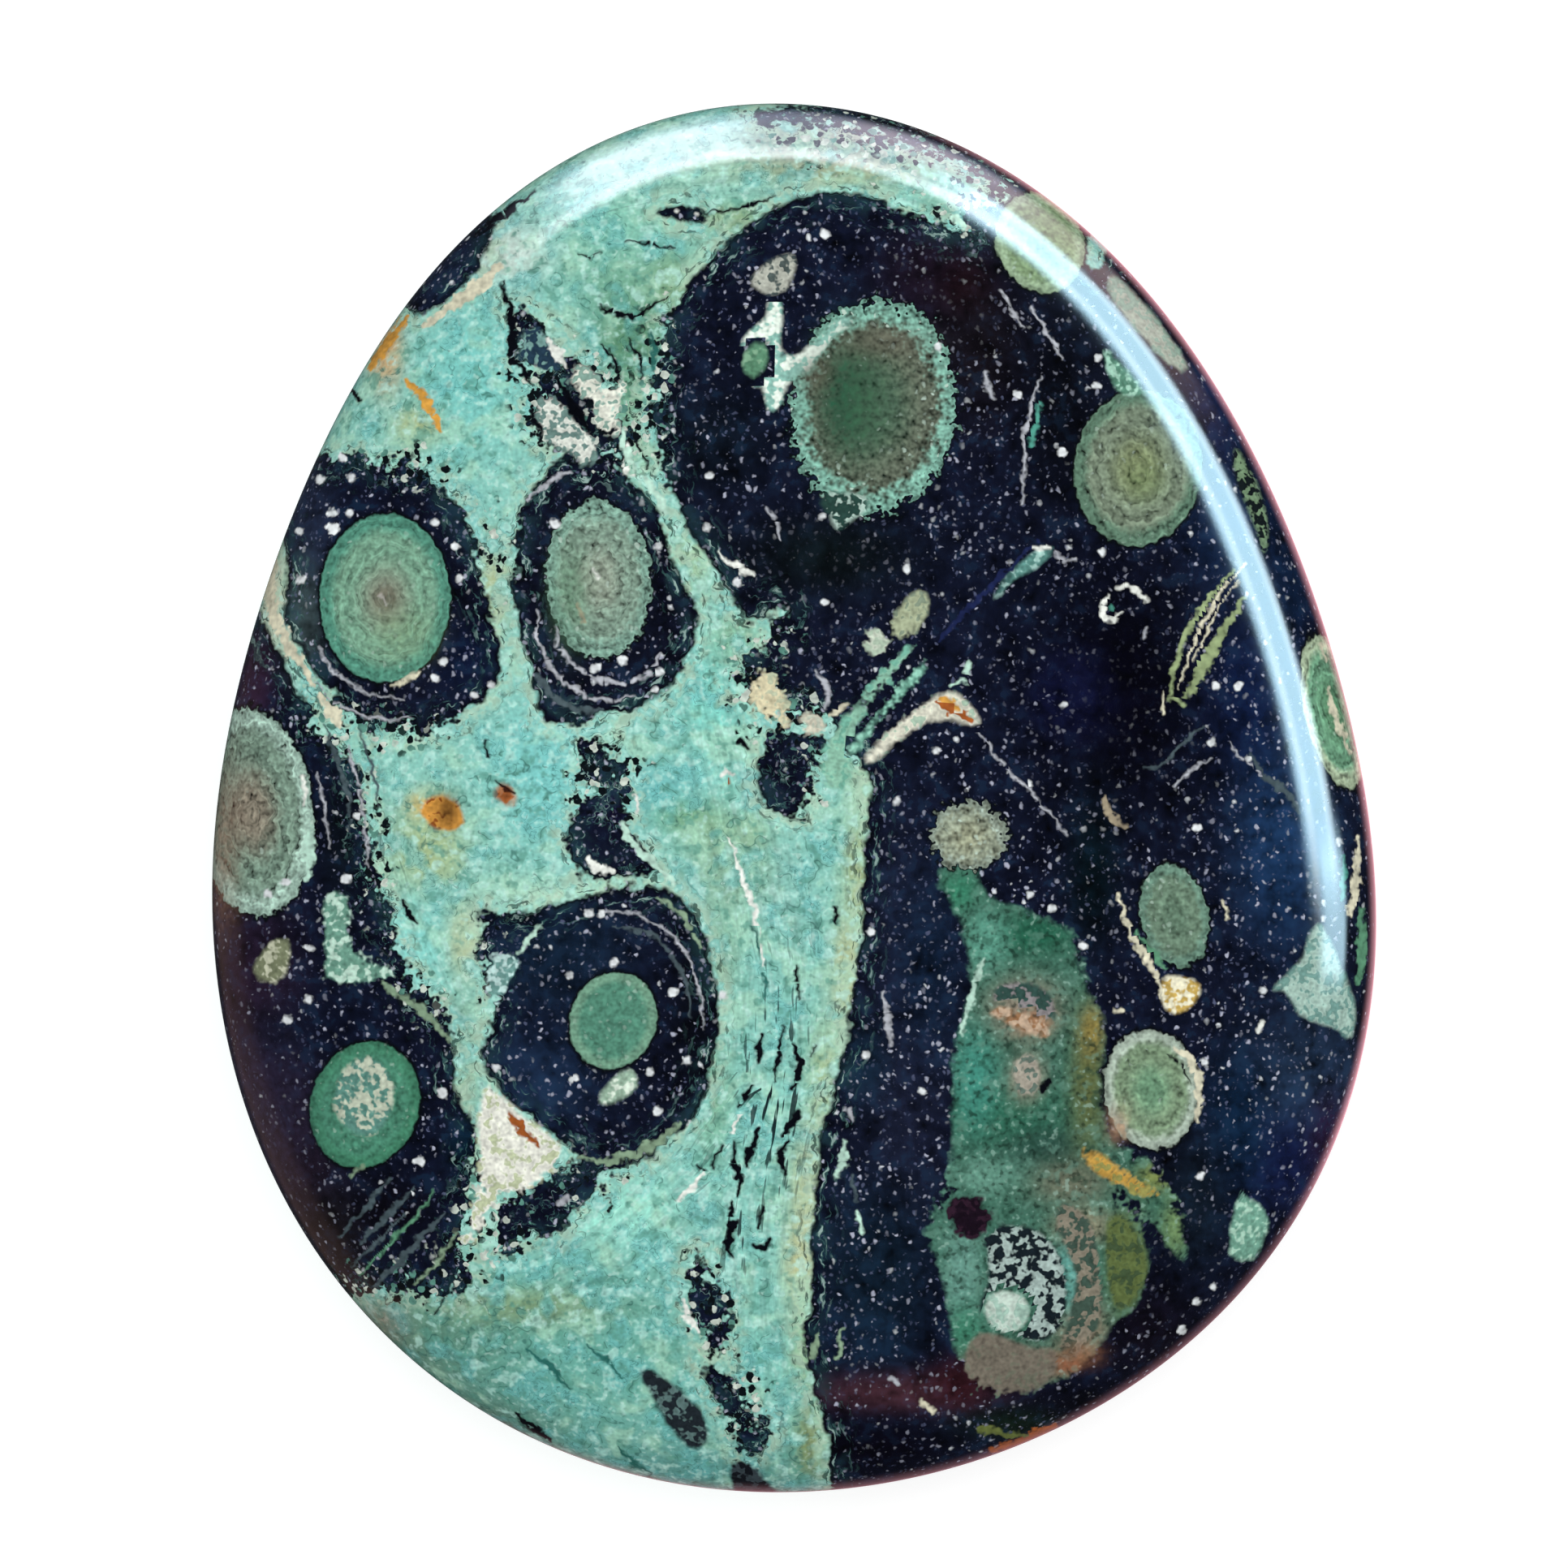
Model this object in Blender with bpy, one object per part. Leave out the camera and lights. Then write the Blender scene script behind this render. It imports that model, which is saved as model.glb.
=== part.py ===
"""Kambaba jasper worry stone: one polished pebble, egg-shaped from above, lying on a small flat spot.

Blender 4.5 script, in metres, +Z up. The stone lies as it rests: its upper face looks along +Z, its
narrow end points along +Y, and the origin is under the middle of its outline, on the surface it lies on.
"""

import math

import bmesh
import bpy
from mathutils import Vector

MM = 0.001

# The outline from above: how far the rim is from the middle, every 30 degrees anticlockwise from +X.
RIM_RADII_MM = (18.5, 18.25, 20.4, 22.45, 21.1, 18.7, 18.7, 20.5, 22.25, 22.55, 22.0, 20.6)

CROWN_HEIGHT = 4.7 * MM  # from the widest level up to the top of the upper face
BELLY_DEPTH = 4.5 * MM  # from the widest level down to the lower face, before its flat spot is cut
FLAT_SPOT_DEPTH = 0.1 * MM  # how much of the belly the flat spot takes off
FULLNESS = 2.5  # the section's exponent: 2 is an ellipse, and more gives flatter faces
WEDGE = 0.05  # how much thicker the wide end is than the middle, as a share
SPHERE_SUBDIVISIONS = 5  # of the icosphere that the stone is shaped from

JASPER_COLOUR = (0.055, 0.105, 0.095, 1.0)
POLISH_ROUGHNESS = 0.12


def clear_scene():
    for obj in list(bpy.data.objects):
        bpy.data.objects.remove(obj, do_unlink=True)


def rim_radius(angle):
    """The smooth closed curve through RIM_RADII_MM, by trigonometric interpolation: it has no kink anywhere."""
    count = len(RIM_RADII_MM)
    radius = 0.0
    for k, measured in enumerate(RIM_RADII_MM):
        turn = angle - 2 * math.pi * k / count
        if abs(math.sin(turn / 2)) < 1e-9:
            return measured * MM
        radius += measured * math.sin(count * turn / 2) / (count * math.tan(turn / 2))
    return radius * MM


def surface_point(direction):
    """Where the stone's skin lies in this direction from its middle: a superellipse in section, the rim in plan."""
    level = math.hypot(direction.x, direction.y)
    reach = (level**FULLNESS + abs(direction.z) ** FULLNESS) ** (-1 / FULLNESS)
    angle = math.atan2(direction.y, direction.x)
    radius = reach * level * rim_radius(angle)
    x, y = radius * math.cos(angle), radius * math.sin(angle)
    depth = CROWN_HEIGHT if direction.z > 0 else BELLY_DEPTH
    depth *= 1 - WEDGE * y / rim_radius(math.pi / 2)
    return Vector((x, y, reach * direction.z * depth))


def grind_flat_spot(bm):
    """Cuts the lowest part of the belly off level, so that the stone lies still."""
    lowest = min(v.co.z for v in bm.verts)
    cut = bmesh.ops.bisect_plane(
        bm,
        geom=bm.verts[:] + bm.edges[:] + bm.faces[:],
        plane_co=(0, 0, lowest + FLAT_SPOT_DEPTH),
        plane_no=(0, 0, -1),
        clear_outer=True,
    )
    rim_edges = [item for item in cut["geom_cut"] if isinstance(item, bmesh.types.BMEdge)]
    bmesh.ops.contextual_create(bm, geom=rim_edges)
    bmesh.ops.recalc_face_normals(bm, faces=bm.faces[:])


def set_on_the_ground(bm):
    """Moves the stone so that its flat spot is at z = 0 and its outline's box is centred on the Z axis."""
    xs = [v.co.x for v in bm.verts]
    ys = [v.co.y for v in bm.verts]
    zs = [v.co.z for v in bm.verts]
    middle = Vector(((min(xs) + max(xs)) / 2, (min(ys) + max(ys)) / 2, min(zs)))
    bmesh.ops.translate(bm, vec=-middle, verts=bm.verts[:])


def jasper_material():
    material = bpy.data.materials.new("polished_jasper")
    material.use_nodes = True
    shader = material.node_tree.nodes["Principled BSDF"]
    shader.inputs["Base Color"].default_value = JASPER_COLOUR
    shader.inputs["Roughness"].default_value = POLISH_ROUGHNESS
    shader.inputs["Metallic"].default_value = 0.0
    material.diffuse_color = JASPER_COLOUR
    return material


def make_stone(collection):
    bm = bmesh.new()
    bmesh.ops.create_icosphere(bm, subdivisions=SPHERE_SUBDIVISIONS, radius=1.0)
    for vertex in bm.verts:
        vertex.co = surface_point(vertex.co.normalized())
    grind_flat_spot(bm)
    set_on_the_ground(bm)
    mesh = bpy.data.meshes.new("stone")
    bm.to_mesh(mesh)
    bm.free()
    mesh.shade_smooth()
    mesh.materials.append(jasper_material())
    stone = bpy.data.objects.new("stone", mesh)
    collection.objects.link(stone)
    return stone


def main():
    clear_scene()
    collection = bpy.data.collections.new("kambaba_jasper_worry_stone")
    bpy.context.scene.collection.children.link(collection)
    make_stone(collection)


main()
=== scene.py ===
"""Kambaba jasper worry stone: a polished pebble of turquoise and near-black rock with ringed green eyes.

The stone is a fine mesh of the same shape as the CAD solid. Its markings are given in mm from the
middle of the stone as seen from above, and the material draws their ragged edges, rings, grain and specks.
"""

import math

import bpy
import numpy as np
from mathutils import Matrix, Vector


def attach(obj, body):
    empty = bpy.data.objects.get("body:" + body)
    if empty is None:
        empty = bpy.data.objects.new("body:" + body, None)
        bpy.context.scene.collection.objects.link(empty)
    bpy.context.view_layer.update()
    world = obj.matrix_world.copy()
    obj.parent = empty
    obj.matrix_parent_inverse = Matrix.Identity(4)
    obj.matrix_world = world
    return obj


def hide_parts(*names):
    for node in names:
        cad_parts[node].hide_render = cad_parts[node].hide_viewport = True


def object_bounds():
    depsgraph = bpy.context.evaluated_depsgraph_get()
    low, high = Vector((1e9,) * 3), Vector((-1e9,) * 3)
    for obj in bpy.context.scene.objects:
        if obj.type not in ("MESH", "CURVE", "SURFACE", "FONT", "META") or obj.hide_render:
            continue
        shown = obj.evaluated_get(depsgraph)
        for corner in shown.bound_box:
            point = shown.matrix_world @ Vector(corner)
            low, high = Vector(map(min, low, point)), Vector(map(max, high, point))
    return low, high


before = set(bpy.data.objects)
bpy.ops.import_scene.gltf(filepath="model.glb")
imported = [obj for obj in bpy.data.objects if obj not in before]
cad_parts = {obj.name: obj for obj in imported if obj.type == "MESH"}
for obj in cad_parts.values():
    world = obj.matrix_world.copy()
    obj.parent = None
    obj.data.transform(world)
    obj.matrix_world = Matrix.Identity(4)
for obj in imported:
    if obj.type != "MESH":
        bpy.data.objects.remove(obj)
cad_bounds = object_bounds()

MM = 0.001

# The stone's shape, as in the CAD source.
RIM_RADII_MM = (18.5, 18.25, 20.4, 22.45, 21.1, 18.7, 18.7, 20.5, 22.25, 22.55, 22.0, 20.6)
CROWN_HEIGHT_MM = 4.7
BELLY_DEPTH_MM = 4.5
FLAT_SPOT_DEPTH_MM = 0.1
FULLNESS = 2.5
WEDGE = 0.05

# The fine mesh: a box of quads that is blown up into the stone.
QUADS_ACROSS = 170
QUADS_UP = 60
BOX_FLATNESS = 0.55  # below 1, the box's top and bottom reach further out towards the rim

WIDEST_LEVEL_MM = 4.4  # how high the rim's outermost line lies
FRONT_FADE_MM = 1.6  # how far below that line the upper face's markings give way to the lower face's

# The camera looks straight down, and the frame is this wide where the rim is.
FRAME_WIDTH_MM = 50.84
FRAME_CENTRE_MM = (-0.33, 0.45)
CAMERA_HEIGHT_MM = 620.0
LENS_MM = 200.0
CAMERA_REACH = 20.0  # in metres, well past the floor

# The markings, all in mm from the middle of the stone, as seen from above

# The colours that have a name, because several markings share them.
COLOURS = {
    "turquoise": "#86C6B9",
    "mint": "#BFE6D4",
    "teal": "#4E9A8A",
    "deep_teal": "#2C6A62",
    "olive": "#97AA7C",
    "moss": "#66713C",
    "green": "#5E9676",
    "sage": "#86A286",
    "cream": "#DBD8BE",
    "white": "#EDF2EA",
    "tan": "#A69A82",
    "ochre": "#D8A048",
    "rust": "#A65A26",
    "navy": "#10162C",
    "ink": "#060810",
    "slate": "#4A5A60",
    "lilac": "#B4B8C0",
    "indigo": "#1C2650",
    "green_rock": "#3E6A5A",
    "speck": "#E2E8EA",
}

DEPTH_REACH_MM = 3.0  # how far from a border the depth in a rock is worked out

# Where the rock is near-black: closed outlines, some of them reaching past the rim.
DARK_OUTLINES = {
    "upper_left_island": [
        (-15.3, 11.2), (-14.6, 11.0), (-14.2, 11.1), (-13.0, 10.75), (-12.4, 10.8), (-11.2, 9.9),
        (-10.5, 9.0), (-9.35, 4.7), (-9.4, 4.1), (-9.6, 3.5), (-10.0, 3.1), (-10.6, 2.85), (-11.1, 2.3),
        (-12.3, 1.95), (-14.5, 2.5), (-14.5, 2.95), (-15.75, 4.4), (-16.35, 5.4), (-16.5, 6.1), (-16.4, 8.4),
        (-17.5, 8.8), (-16.6, 11.4),
    ],
    "upper_middle_island": [
        (-7.6, 10.9), (-7.3, 11.1), (-7.0, 10.9), (-6.9, 10.5), (-5.9, 11.5), (-5.6, 11.2), (-5.6, 10.6),
        (-4.2, 9.1), (-3.7, 7.1), (-3.5, 6.7), (-3.15, 6.45), (-3.0, 5.7), (-3.6, 4.0), (-4.6, 3.0),
        (-7.6, 2.3), (-8.2, 2.5), (-8.35, 3.8), (-8.95, 5.6), (-9.1, 7.6), (-8.75, 9.4), (-8.5, 9.9),
    ],
    "right_country": [
        (0.3, 19.65), (2.4, 19.5), (5.65, 18.1), (5.6, 18.5), (5.3, 18.9), (5.6, 19.4), (6.4, 19.3),
        (8.6, 18.0), (9.3, 17.3), (9.9, 17.0), (10.1, 17.6), (11.0, 18.4), (20.0, 14.0), (24.0, 0.0),
        (20.0, -17.0), (9.0, -24.0), (1.2, -24.0), (1.2, -22.0), (1.0, -20.6), (0.15, -17.1), (0.45, -16.6),
        (0.7, -11.5), (0.95, -10.2), (1.8, -7.5), (1.6, -7.0), (1.85, -6.6), (1.8, -6.2), (2.05, -5.2),
        (2.2, -2.7), (2.1, -1.7), (2.35, -0.7), (2.4, 0.9), (1.25, 2.0), (0.9, 2.75), (-0.3, 2.7),
        (-1.9, 3.3), (-2.0, 3.7), (-1.8, 4.2), (-1.35, 4.5), (-0.7, 5.65), (0.0, 6.0), (-0.8, 6.15),
        (-1.4, 5.6), (-1.7, 5.75), (-2.0, 6.6), (-2.6, 7.3), (-3.7, 9.2), (-4.3, 10.7), (-4.6, 13.3),
        (-4.0, 16.0), (-2.0, 18.2),
    ],
    "hollow_in_the_stream": [
        (-1.1, 2.1), (-0.2, 2.3), (1.05, 2.0), (0.9, 1.3), (0.45, 0.4), (0.6, -0.2), (0.35, -0.65),
        (-0.2, -0.65), (-1.2, 0.0),
    ],
    "middle_blot_top": [
        (-7.0, 1.75), (-6.6, 1.95), (-6.1, 1.75), (-5.6, 2.0), (-5.75, 1.5), (-6.0, 1.3), (-5.5, 1.0),
        (-5.2, 0.6), (-5.5, 0.35), (-6.0, 0.4), (-6.4, 0.25), (-6.8, 0.45),
    ],
    "middle_blot": [
        (-6.5, 0.2), (-6.0, 0.4), (-5.4, 0.3), (-5.3, -0.3), (-5.5, -0.8), (-4.3, -2.3), (-4.6, -2.6),
        (-5.4, -2.5), (-6.1, -2.7), (-6.8, -2.6), (-7.4, -1.4), (-7.3, -0.9),
    ],
    "lower_middle_island": [
        (-10.1, -3.45), (-9.3, -3.8), (-5.9, -2.9), (-5.2, -2.95), (-4.8, -2.7), (-4.2, -2.8), (-3.3, -3.6),
        (-3.0, -4.2), (-2.4, -6.4), (-2.35, -7.2), (-2.8, -9.2), (-3.1, -10.1), (-3.5, -10.6), (-4.7, -11.6),
        (-5.8, -12.0), (-6.2, -12.3), (-7.75, -14.2), (-8.1, -14.0), (-9.0, -14.3), (-9.2, -14.8),
        (-9.6, -14.3), (-9.75, -13.7), (-9.4, -12.8), (-9.0, -12.9), (-8.5, -12.6), (-7.2, -11.75),
        (-7.1, -11.3), (-7.9, -10.85), (-9.5, -9.55), (-10.2, -8.4), (-9.6, -6.6), (-10.25, -4.9),
    ],
    "left_country": [
        (-17.25, 6.0), (-17.1, 5.5), (-16.2, 4.2), (-16.0, 3.5), (-15.6, 2.9), (-15.5, 2.35), (-14.9, 1.9),
        (-13.9, 0.6), (-13.5, -2.5), (-13.35, -3.0), (-13.05, -3.3), (-12.7, -5.3), (-10.8, -7.6),
        (-11.05, -7.9), (-10.9, -9.3), (-10.75, -9.9), (-10.3, -10.4), (-10.2, -12.1), (-10.8, -14.5),
        (-10.3, -15.7), (-10.8, -16.1), (-12.2, -15.9), (-13.6, -15.9), (-14.4, -16.1), (-15.4, -17.0),
        (-20.0, -10.0), (-21.0, 0.0), (-18.9, 5.0), (-17.9, 6.8),
    ],
    "upper_left_rim": [
        (-12.6, 15.8), (-12.0, 15.45), (-10.3, 16.8), (-9.6, 18.6), (-10.2, 19.6), (-13.0, 17.0),
    ],
    "forked_crack": [
        (-9.3, 16.2), (-9.1, 15.0), (-9.2, 14.3), (-8.7, 13.7), (-8.2, 14.2), (-7.9, 14.8), (-7.4, 14.9),
    ],
    "breccia_hollow": [
        (-8.3, 13.2), (-7.6, 14.1), (-7.1, 14.3), (-6.2, 13.4), (-5.6, 12.5), (-5.2, 11.6), (-5.5, 10.9),
        (-6.4, 10.9), (-8.1, 11.4), (-8.5, 12.2),
    ],
    "top_rim": [
        (-1.5, 22.4), (-1.2, 21.75), (0.8, 21.85), (4.4, 21.0), (6.2, 20.15), (9.2, 18.0), (10.0, 18.6),
        (8.0, 20.6), (4.0, 22.6),
    ],
    "top_cluster": [
        (-4.5, 19.0), (-3.9, 19.2), (-3.2, 19.1), (-2.7, 18.75), (-3.0, 18.5), (-4.3, 18.75),
    ],
    "upper_lens": [
        (-3.0, -14.4), (-2.6, -15.4), (-2.2, -15.7), (-2.1, -16.2), (-2.0, -17.0), (-2.35, -18.0),
        (-2.7, -17.9), (-3.5, -16.2), (-3.4, -15.1),
    ],
    "lower_lens": [
        (-3.2, -18.2), (-2.4, -18.2), (-2.1, -18.8), (-1.7, -19.0), (-1.4, -19.6), (-0.9, -19.9),
        (-0.75, -20.3), (-0.9, -20.8), (-1.3, -21.2), (-1.8, -21.2), (-2.0, -20.2),
    ],
}

# The large green mass in the lower right.
GREEN_OUTLINES = {
    "green_country": [
        (5.2, -2.2), (4.55, -2.3), (4.7, -2.9), (5.5, -4.3), (5.7, -5.8), (5.3, -7.4), (5.0, -9.6),
        (5.15, -12.2), (4.3, -13.7), (4.3, -14.4), (4.7, -15.2), (5.5, -18.9), (7.0, -19.2), (8.7, -18.8),
        (9.5, -18.3), (10.3, -17.0), (10.9, -16.5), (11.3, -15.9), (11.5, -15.1), (11.35, -14.4),
        (11.0, -13.7), (10.2, -12.9), (10.5, -12.75), (11.1, -13.1), (12.1, -14.6), (12.6, -15.0),
        (12.75, -14.4), (11.9, -12.0), (10.3, -11.1), (9.95, -10.3), (9.85, -9.3), (10.15, -7.4), (9.4, -6.1),
        (9.0, -4.6), (8.5, -4.0), (6.5, -3.3), (6.05, -2.8), (5.9, -2.2),
    ],
}

# How a soft spot fades: its cover at its radii is e to the power of minus the first.
SPOT_FADE = 0.7
SPOT_STEEPNESS = 1.3

# Soft changes of colour in each rock: centre, radii and colour, on top of the rock's own colour. A few of
# them, marked below, are painted shade or painted reflection near the rim.
TURQUOISE_WASHES_AND_SHADE = [
    # The first four darken the turquoise towards the lower-left rim: painted shade.
    (-7.5, -18.0, 5.5, 3.2, "#6DB0A2"),
    (-12.0, -17.6, 2.6, 1.6, "#5E8E7C"),
    (-3.0, -22.0, 4.5, 1.4, "#5F9A92"),
    (-11.0, -20.5, 3.0, 1.2, "#5A7E6E"),
    (-8.0, 0.8, 1.6, 2.0, "#7CCBC6"),
    (-10.4, 13.6, 1.6, 2.2, "#7CCAC2"),
    (-2.7, 3.2, 1.0, 1.8, "#7CCABD"),
    (-4.3, 0.0, 1.3, 1.0, "#70BDBA"),
    (-3.4, -0.6, 1.0, 0.5, "#74AA84"),
    (-2.6, -1.1, 0.9, 0.45, "#80AE86"),
    (-1.4, -1.4, 0.5, 0.9, "#88B08C"),
    (-0.9, -2.6, 0.35, 0.9, "#8CB490"),
    (-11.8, -1.8, 1.2, 1.4, "#A4BC8C"),
    (-11.8, -0.2, 0.6, 0.4, "#C8B46C"),
    (-12.2, 12.0, 0.7, 0.6, "#A9BC8C"),
    (-13.2, 14.4, 0.5, 1.2, "#C8AC80"),
    (-9.6, 6.8, 0.45, 1.2, "#A6B482"),
    (-16.9, 6.5, 0.6, 1.8, "#C9CDB4"),
    (-12.4, -4.6, 1.0, 1.5, "#84CFC6"),
    (-10.6, -4.6, 0.5, 1.0, "#B4C49C"),
    (-10.6, -8.5, 0.4, 1.8, "#8AB094"),
    (-3.3, 7.6, 0.5, 1.5, "#9CC4A0"),
    (-5.3, 12.6, 0.5, 1.4, "#6AA284"),
    (-4.9, 11.2, 0.4, 1.2, "#88BCA4"),
    (-1.9, 5.2, 0.7, 0.8, "#86BA9C"),
    (-7.6, -3.0, 2.4, 0.5, "#A8D8C0"),
    (-8.6, -16.4, 2.6, 0.6, "#7C9E7C"),
    (-5.6, 18.3, 2.5, 1.5, "#84C4B0"),
    (-4.3, 20.6, 4.0, 1.0, "#9ACBB8"),
    (1.5, 20.3, 3.0, 0.5, "#98AC86"),
    (1.4, 21.2, 3.0, 0.8, "#9CA498"),
    (7.9, 18.8, 1.4, 0.8, "#B4B898"),
    (5.2, 19.4, 0.9, 0.5, "#7AAE94"),
    (-5.6, 16.6, 1.4, 0.9, "#76B098"),
    (-5.3, 14.8, 1.3, 1.3, "#568868"),
    (-3.9, 16.6, 0.8, 0.9, "#76A07C"),
    (-2.0, 18.7, 1.0, 0.5, "#80A47C"),
    (-9.4, 17.6, 1.3, 0.9, "#BCD2C8"),
    (2.1, -2.5, 0.5, 1.8, "#9CAF7C"),
    (1.7, -5.6, 0.5, 1.6, "#B0BC8E"),
    (1.0, -9.0, 0.5, 1.6, "#A2BE92"),
    (0.4, -12.5, 0.5, 1.8, "#AEC096"),
    (0.2, -15.0, 0.5, 1.4, "#BCC494"),
    (0.3, -18.0, 0.4, 1.5, "#92BE96"),
    (0.5, -20.8, 0.5, 1.2, "#7C9060"),
    (2.2, 0.4, 0.5, 0.9, "#9AC0A0"),
    (-2.2, -2.2, 1.2, 1.5, "#90BCA0"),
    (-2.4, -5.0, 0.6, 1.0, "#88B498"),
    (-0.3, -3.2, 0.7, 1.6, "#86C0B4"),
    (-2.6, -9.6, 0.5, 1.8, "#7EB89C"),
    (-5.5, -13.3, 1.8, 1.0, "#96DAC8"),
]
DARK_WASHES_AND_REFLECTION = [
    (-13.2, 6.4, 3.5, 4.4, "#10152A"),
    (-15.6, 8.8, 0.7, 1.6, "#26304A"),
    (-15.9, 5.8, 0.6, 1.6, "#46585C"),
    (-10.6, 4.6, 1.0, 1.0, "#0C1836"),
    # Purple at the left rim: painted reflection of the warm surroundings.
    (-17.6, 3.8, 0.7, 1.2, "#33203A"),
    (-6.0, 6.5, 3.0, 4.2, "#0E1224"),
    (4.5, 16.8, 1.6, 1.4, "#1E1424"),
    (5.6, 16.3, 0.7, 0.9, "#2C1018"),
    (6.0, 14.5, 1.5, 2.5, "#141018"),
    (1.0, 7.8, 2.5, 1.2, "#0A1418"),
    (-2.5, 11.5, 1.5, 1.5, "#0C1624"),
    (8.5, 12.5, 1.2, 3.0, "#060812"),
    (10.5, 3.5, 2.6, 3.5, "#03020F"),
    (8.8, 3.3, 1.2, 1.2, "#0E1234"),
    (14.2, 8.7, 1.2, 1.6, "#122A50"),
    (15.2, 3.5, 1.5, 2.6, "#0E1E46"),
    (15.8, -1.6, 1.4, 2.6, "#1E3E68"),
    (13.6, 12.6, 0.8, 2.0, "#18264C"),
    (16.0, 7.0, 0.6, 2.4, "#0E2240"),
    (16.6, -9.6, 1.8, 2.2, "#283E5C"),
    (16.0, -11.8, 1.6, 1.4, "#16204A"),
    # Purple at the lower-right rim: painted reflection of the warm surroundings.
    (17.3, -11.0, 0.6, 1.4, "#2A1C3C"),
    (14.3, -10.5, 0.9, 2.0, "#102A48"),
    (13.0, -13.0, 1.0, 2.0, "#101C2A"),
    (3.4, -3.5, 1.0, 2.6, "#182038"),
    (3.6, -9.6, 1.2, 3.0, "#1C223A"),
    (4.3, -5.5, 0.9, 2.5, "#12243E"),
    (2.2, -8.5, 0.7, 1.2, "#142A40"),
    (2.6, -15.5, 1.6, 2.6, "#12263A"),
    (3.4, -19.2, 2.6, 0.55, "#4C2E38"),
    (5.3, -18.9, 0.9, 0.7, "#3E1C24"),
    (2.6, -21.0, 2.4, 0.9, "#070514"),
    (7.4, -20.2, 1.8, 0.5, "#122018"),
    (9.6, -19.6, 1.6, 0.5, "#0A0A18"),
    (11.5, -17.3, 1.5, 1.5, "#120E1C"),
    (9.6, -2.4, 0.8, 2.2, "#04141C"),
    (-7.6, -5.0, 2.0, 1.6, "#142840"),
    (-8.2, -9.0, 1.6, 1.4, "#1A2E4C"),
    (-3.2, -6.8, 0.8, 3.0, "#080C18"),
    (-5.8, -0.3, 0.8, 0.5, "#141232"),
    (-14.6, -1.4, 0.7, 2.0, "#0C1420"),
    # The next two, purple and brown along the lower-left rim, are painted reflection of the warm
    # surroundings.
    (-17.6, -7.0, 1.4, 3.6, "#2C1E32"),
    (-16.5, -12.0, 1.4, 2.4, "#241620"),
    (-15.0, -14.3, 1.2, 1.5, "#1E1A1E"),
    (-13.0, -13.3, 1.2, 1.0, "#0A0814"),
    (-16.0, -7.6, 1.6, 0.9, "#0C1226"),
    (-10.6, -11.2, 0.5, 0.8, "#0E2A40"),
    (-11.2, 16.6, 1.2, 0.8, "#1C2A46"),
]
GREEN_WASHES = [
    (7.6, -4.4, 1.3, 0.6, "#1E5C46"),
    (5.3, -3.0, 0.5, 0.5, "#357E62"),
    (6.2, -4.6, 0.6, 0.8, "#5A9A86"),
    (7.0, -10.3, 2.0, 0.9, "#2C6450"),
    (8.2, -11.3, 1.3, 0.6, "#2A4C42"),
    (7.4, -6.8, 1.0, 0.8, "#8B8272"),
    (7.7, -7.2, 0.5, 0.3, "#A87A5A"),
    (7.5, -9.0, 0.45, 0.6, "#9C9684"),
    (9.45, -9.2, 0.5, 2.0, "#5A643C"),
    (9.6, -7.5, 0.35, 0.7, "#86783E"),
    (5.8, -9.0, 0.6, 1.4, "#3E8A7A"),
    (8.9, -12.4, 1.1, 0.6, "#686E5C"),
    (6.2, -12.2, 0.9, 0.5, "#629482"),
    (12.3, -13.8, 0.4, 0.9, "#6C8A5C"),
    (11.7, -12.2, 0.6, 0.4, "#78864A"),
    (10.8, -15.0, 0.55, 1.4, "#68763A"),
    (5.4, -15.4, 0.5, 1.5, "#66988A"),
    (5.5, -17.2, 0.5, 0.8, "#3E7E66"),
    (7.0, -18.4, 1.5, 0.6, "#726A5C"),
    (9.3, -17.2, 0.7, 0.8, "#8C7E6A"),
    (9.0, -15.3, 0.5, 1.2, "#62A096"),
    (9.3, -13.8, 0.8, 0.5, "#8A8870"),
    (8.9, -18.3, 0.7, 0.3, "#8A5A42"),
]

# The ringed eyes: centre, half width, half height, tilt in degrees (anticlockwise), then the colours of the
# middle, the body and the edge, how many rings there are, how strong they are, and how speckled the eye is.
EYES = [
    (-13.2, 6.45, 2.1, 2.68, 0, "#82907E", "#76A28A", "#528E7A", 6.5, 0.15, 0.12),
    (-6.3, 7.05, 1.68, 2.5, 4, "#8A9888", "#7A9484", "#7AA090", 4.0, 0.2, 0.45),
    (2.55, 12.6, 2.65, 3.4, -5, "#4C6054", "#5E6658", "#74A494", 1.0, 0.05, 1.0),
    (11.1, 10.65, 2.05, 2.5, -8, "#74805E", "#748470", "#5C7C68", 4.0, 0.26, 0.2),
    (7.95, 17.95, 1.4, 1.65, 20, "#76906A", "#7E9872", "#8CA486", 2.0, 0.12, 0.2),
    (17.45, 2.8, 0.95, 2.5, 13, "#5E8E6C", "#6A9A7C", "#A9BC9E", 3.0, 0.25, 0.15),
    (-17.5, -0.45, 1.95, 3.35, 6, "#857F70", "#769080", "#9CBAAC", 4.5, 0.25, 0.35),
    (-5.83, -7.16, 1.36, 1.56, -20, "#4E8470", "#508772", "#6E9A82", 0.5, 0.0, 0.12),
    (-13.85, -9.9, 1.72, 2.05, -20, "#6E9E90", "#4A866E", "#3F7A60", 2.0, 0.12, 0.12),
    (12.25, -3.8, 1.06, 1.62, 12, "#607C68", "#66806C", "#6A8E7C", 1.5, 0.12, 0.3),
    (11.5, -9.4, 1.5, 1.9, 8, "#689072", "#7C9678", "#9AAA9C", 2.0, 0.16, 0.25),
    (5.6, -1.25, 1.2, 1.05, 0, "#989E84", "#8E9884", "#8A988A", 0.5, 0.0, 0.8),
]

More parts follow.
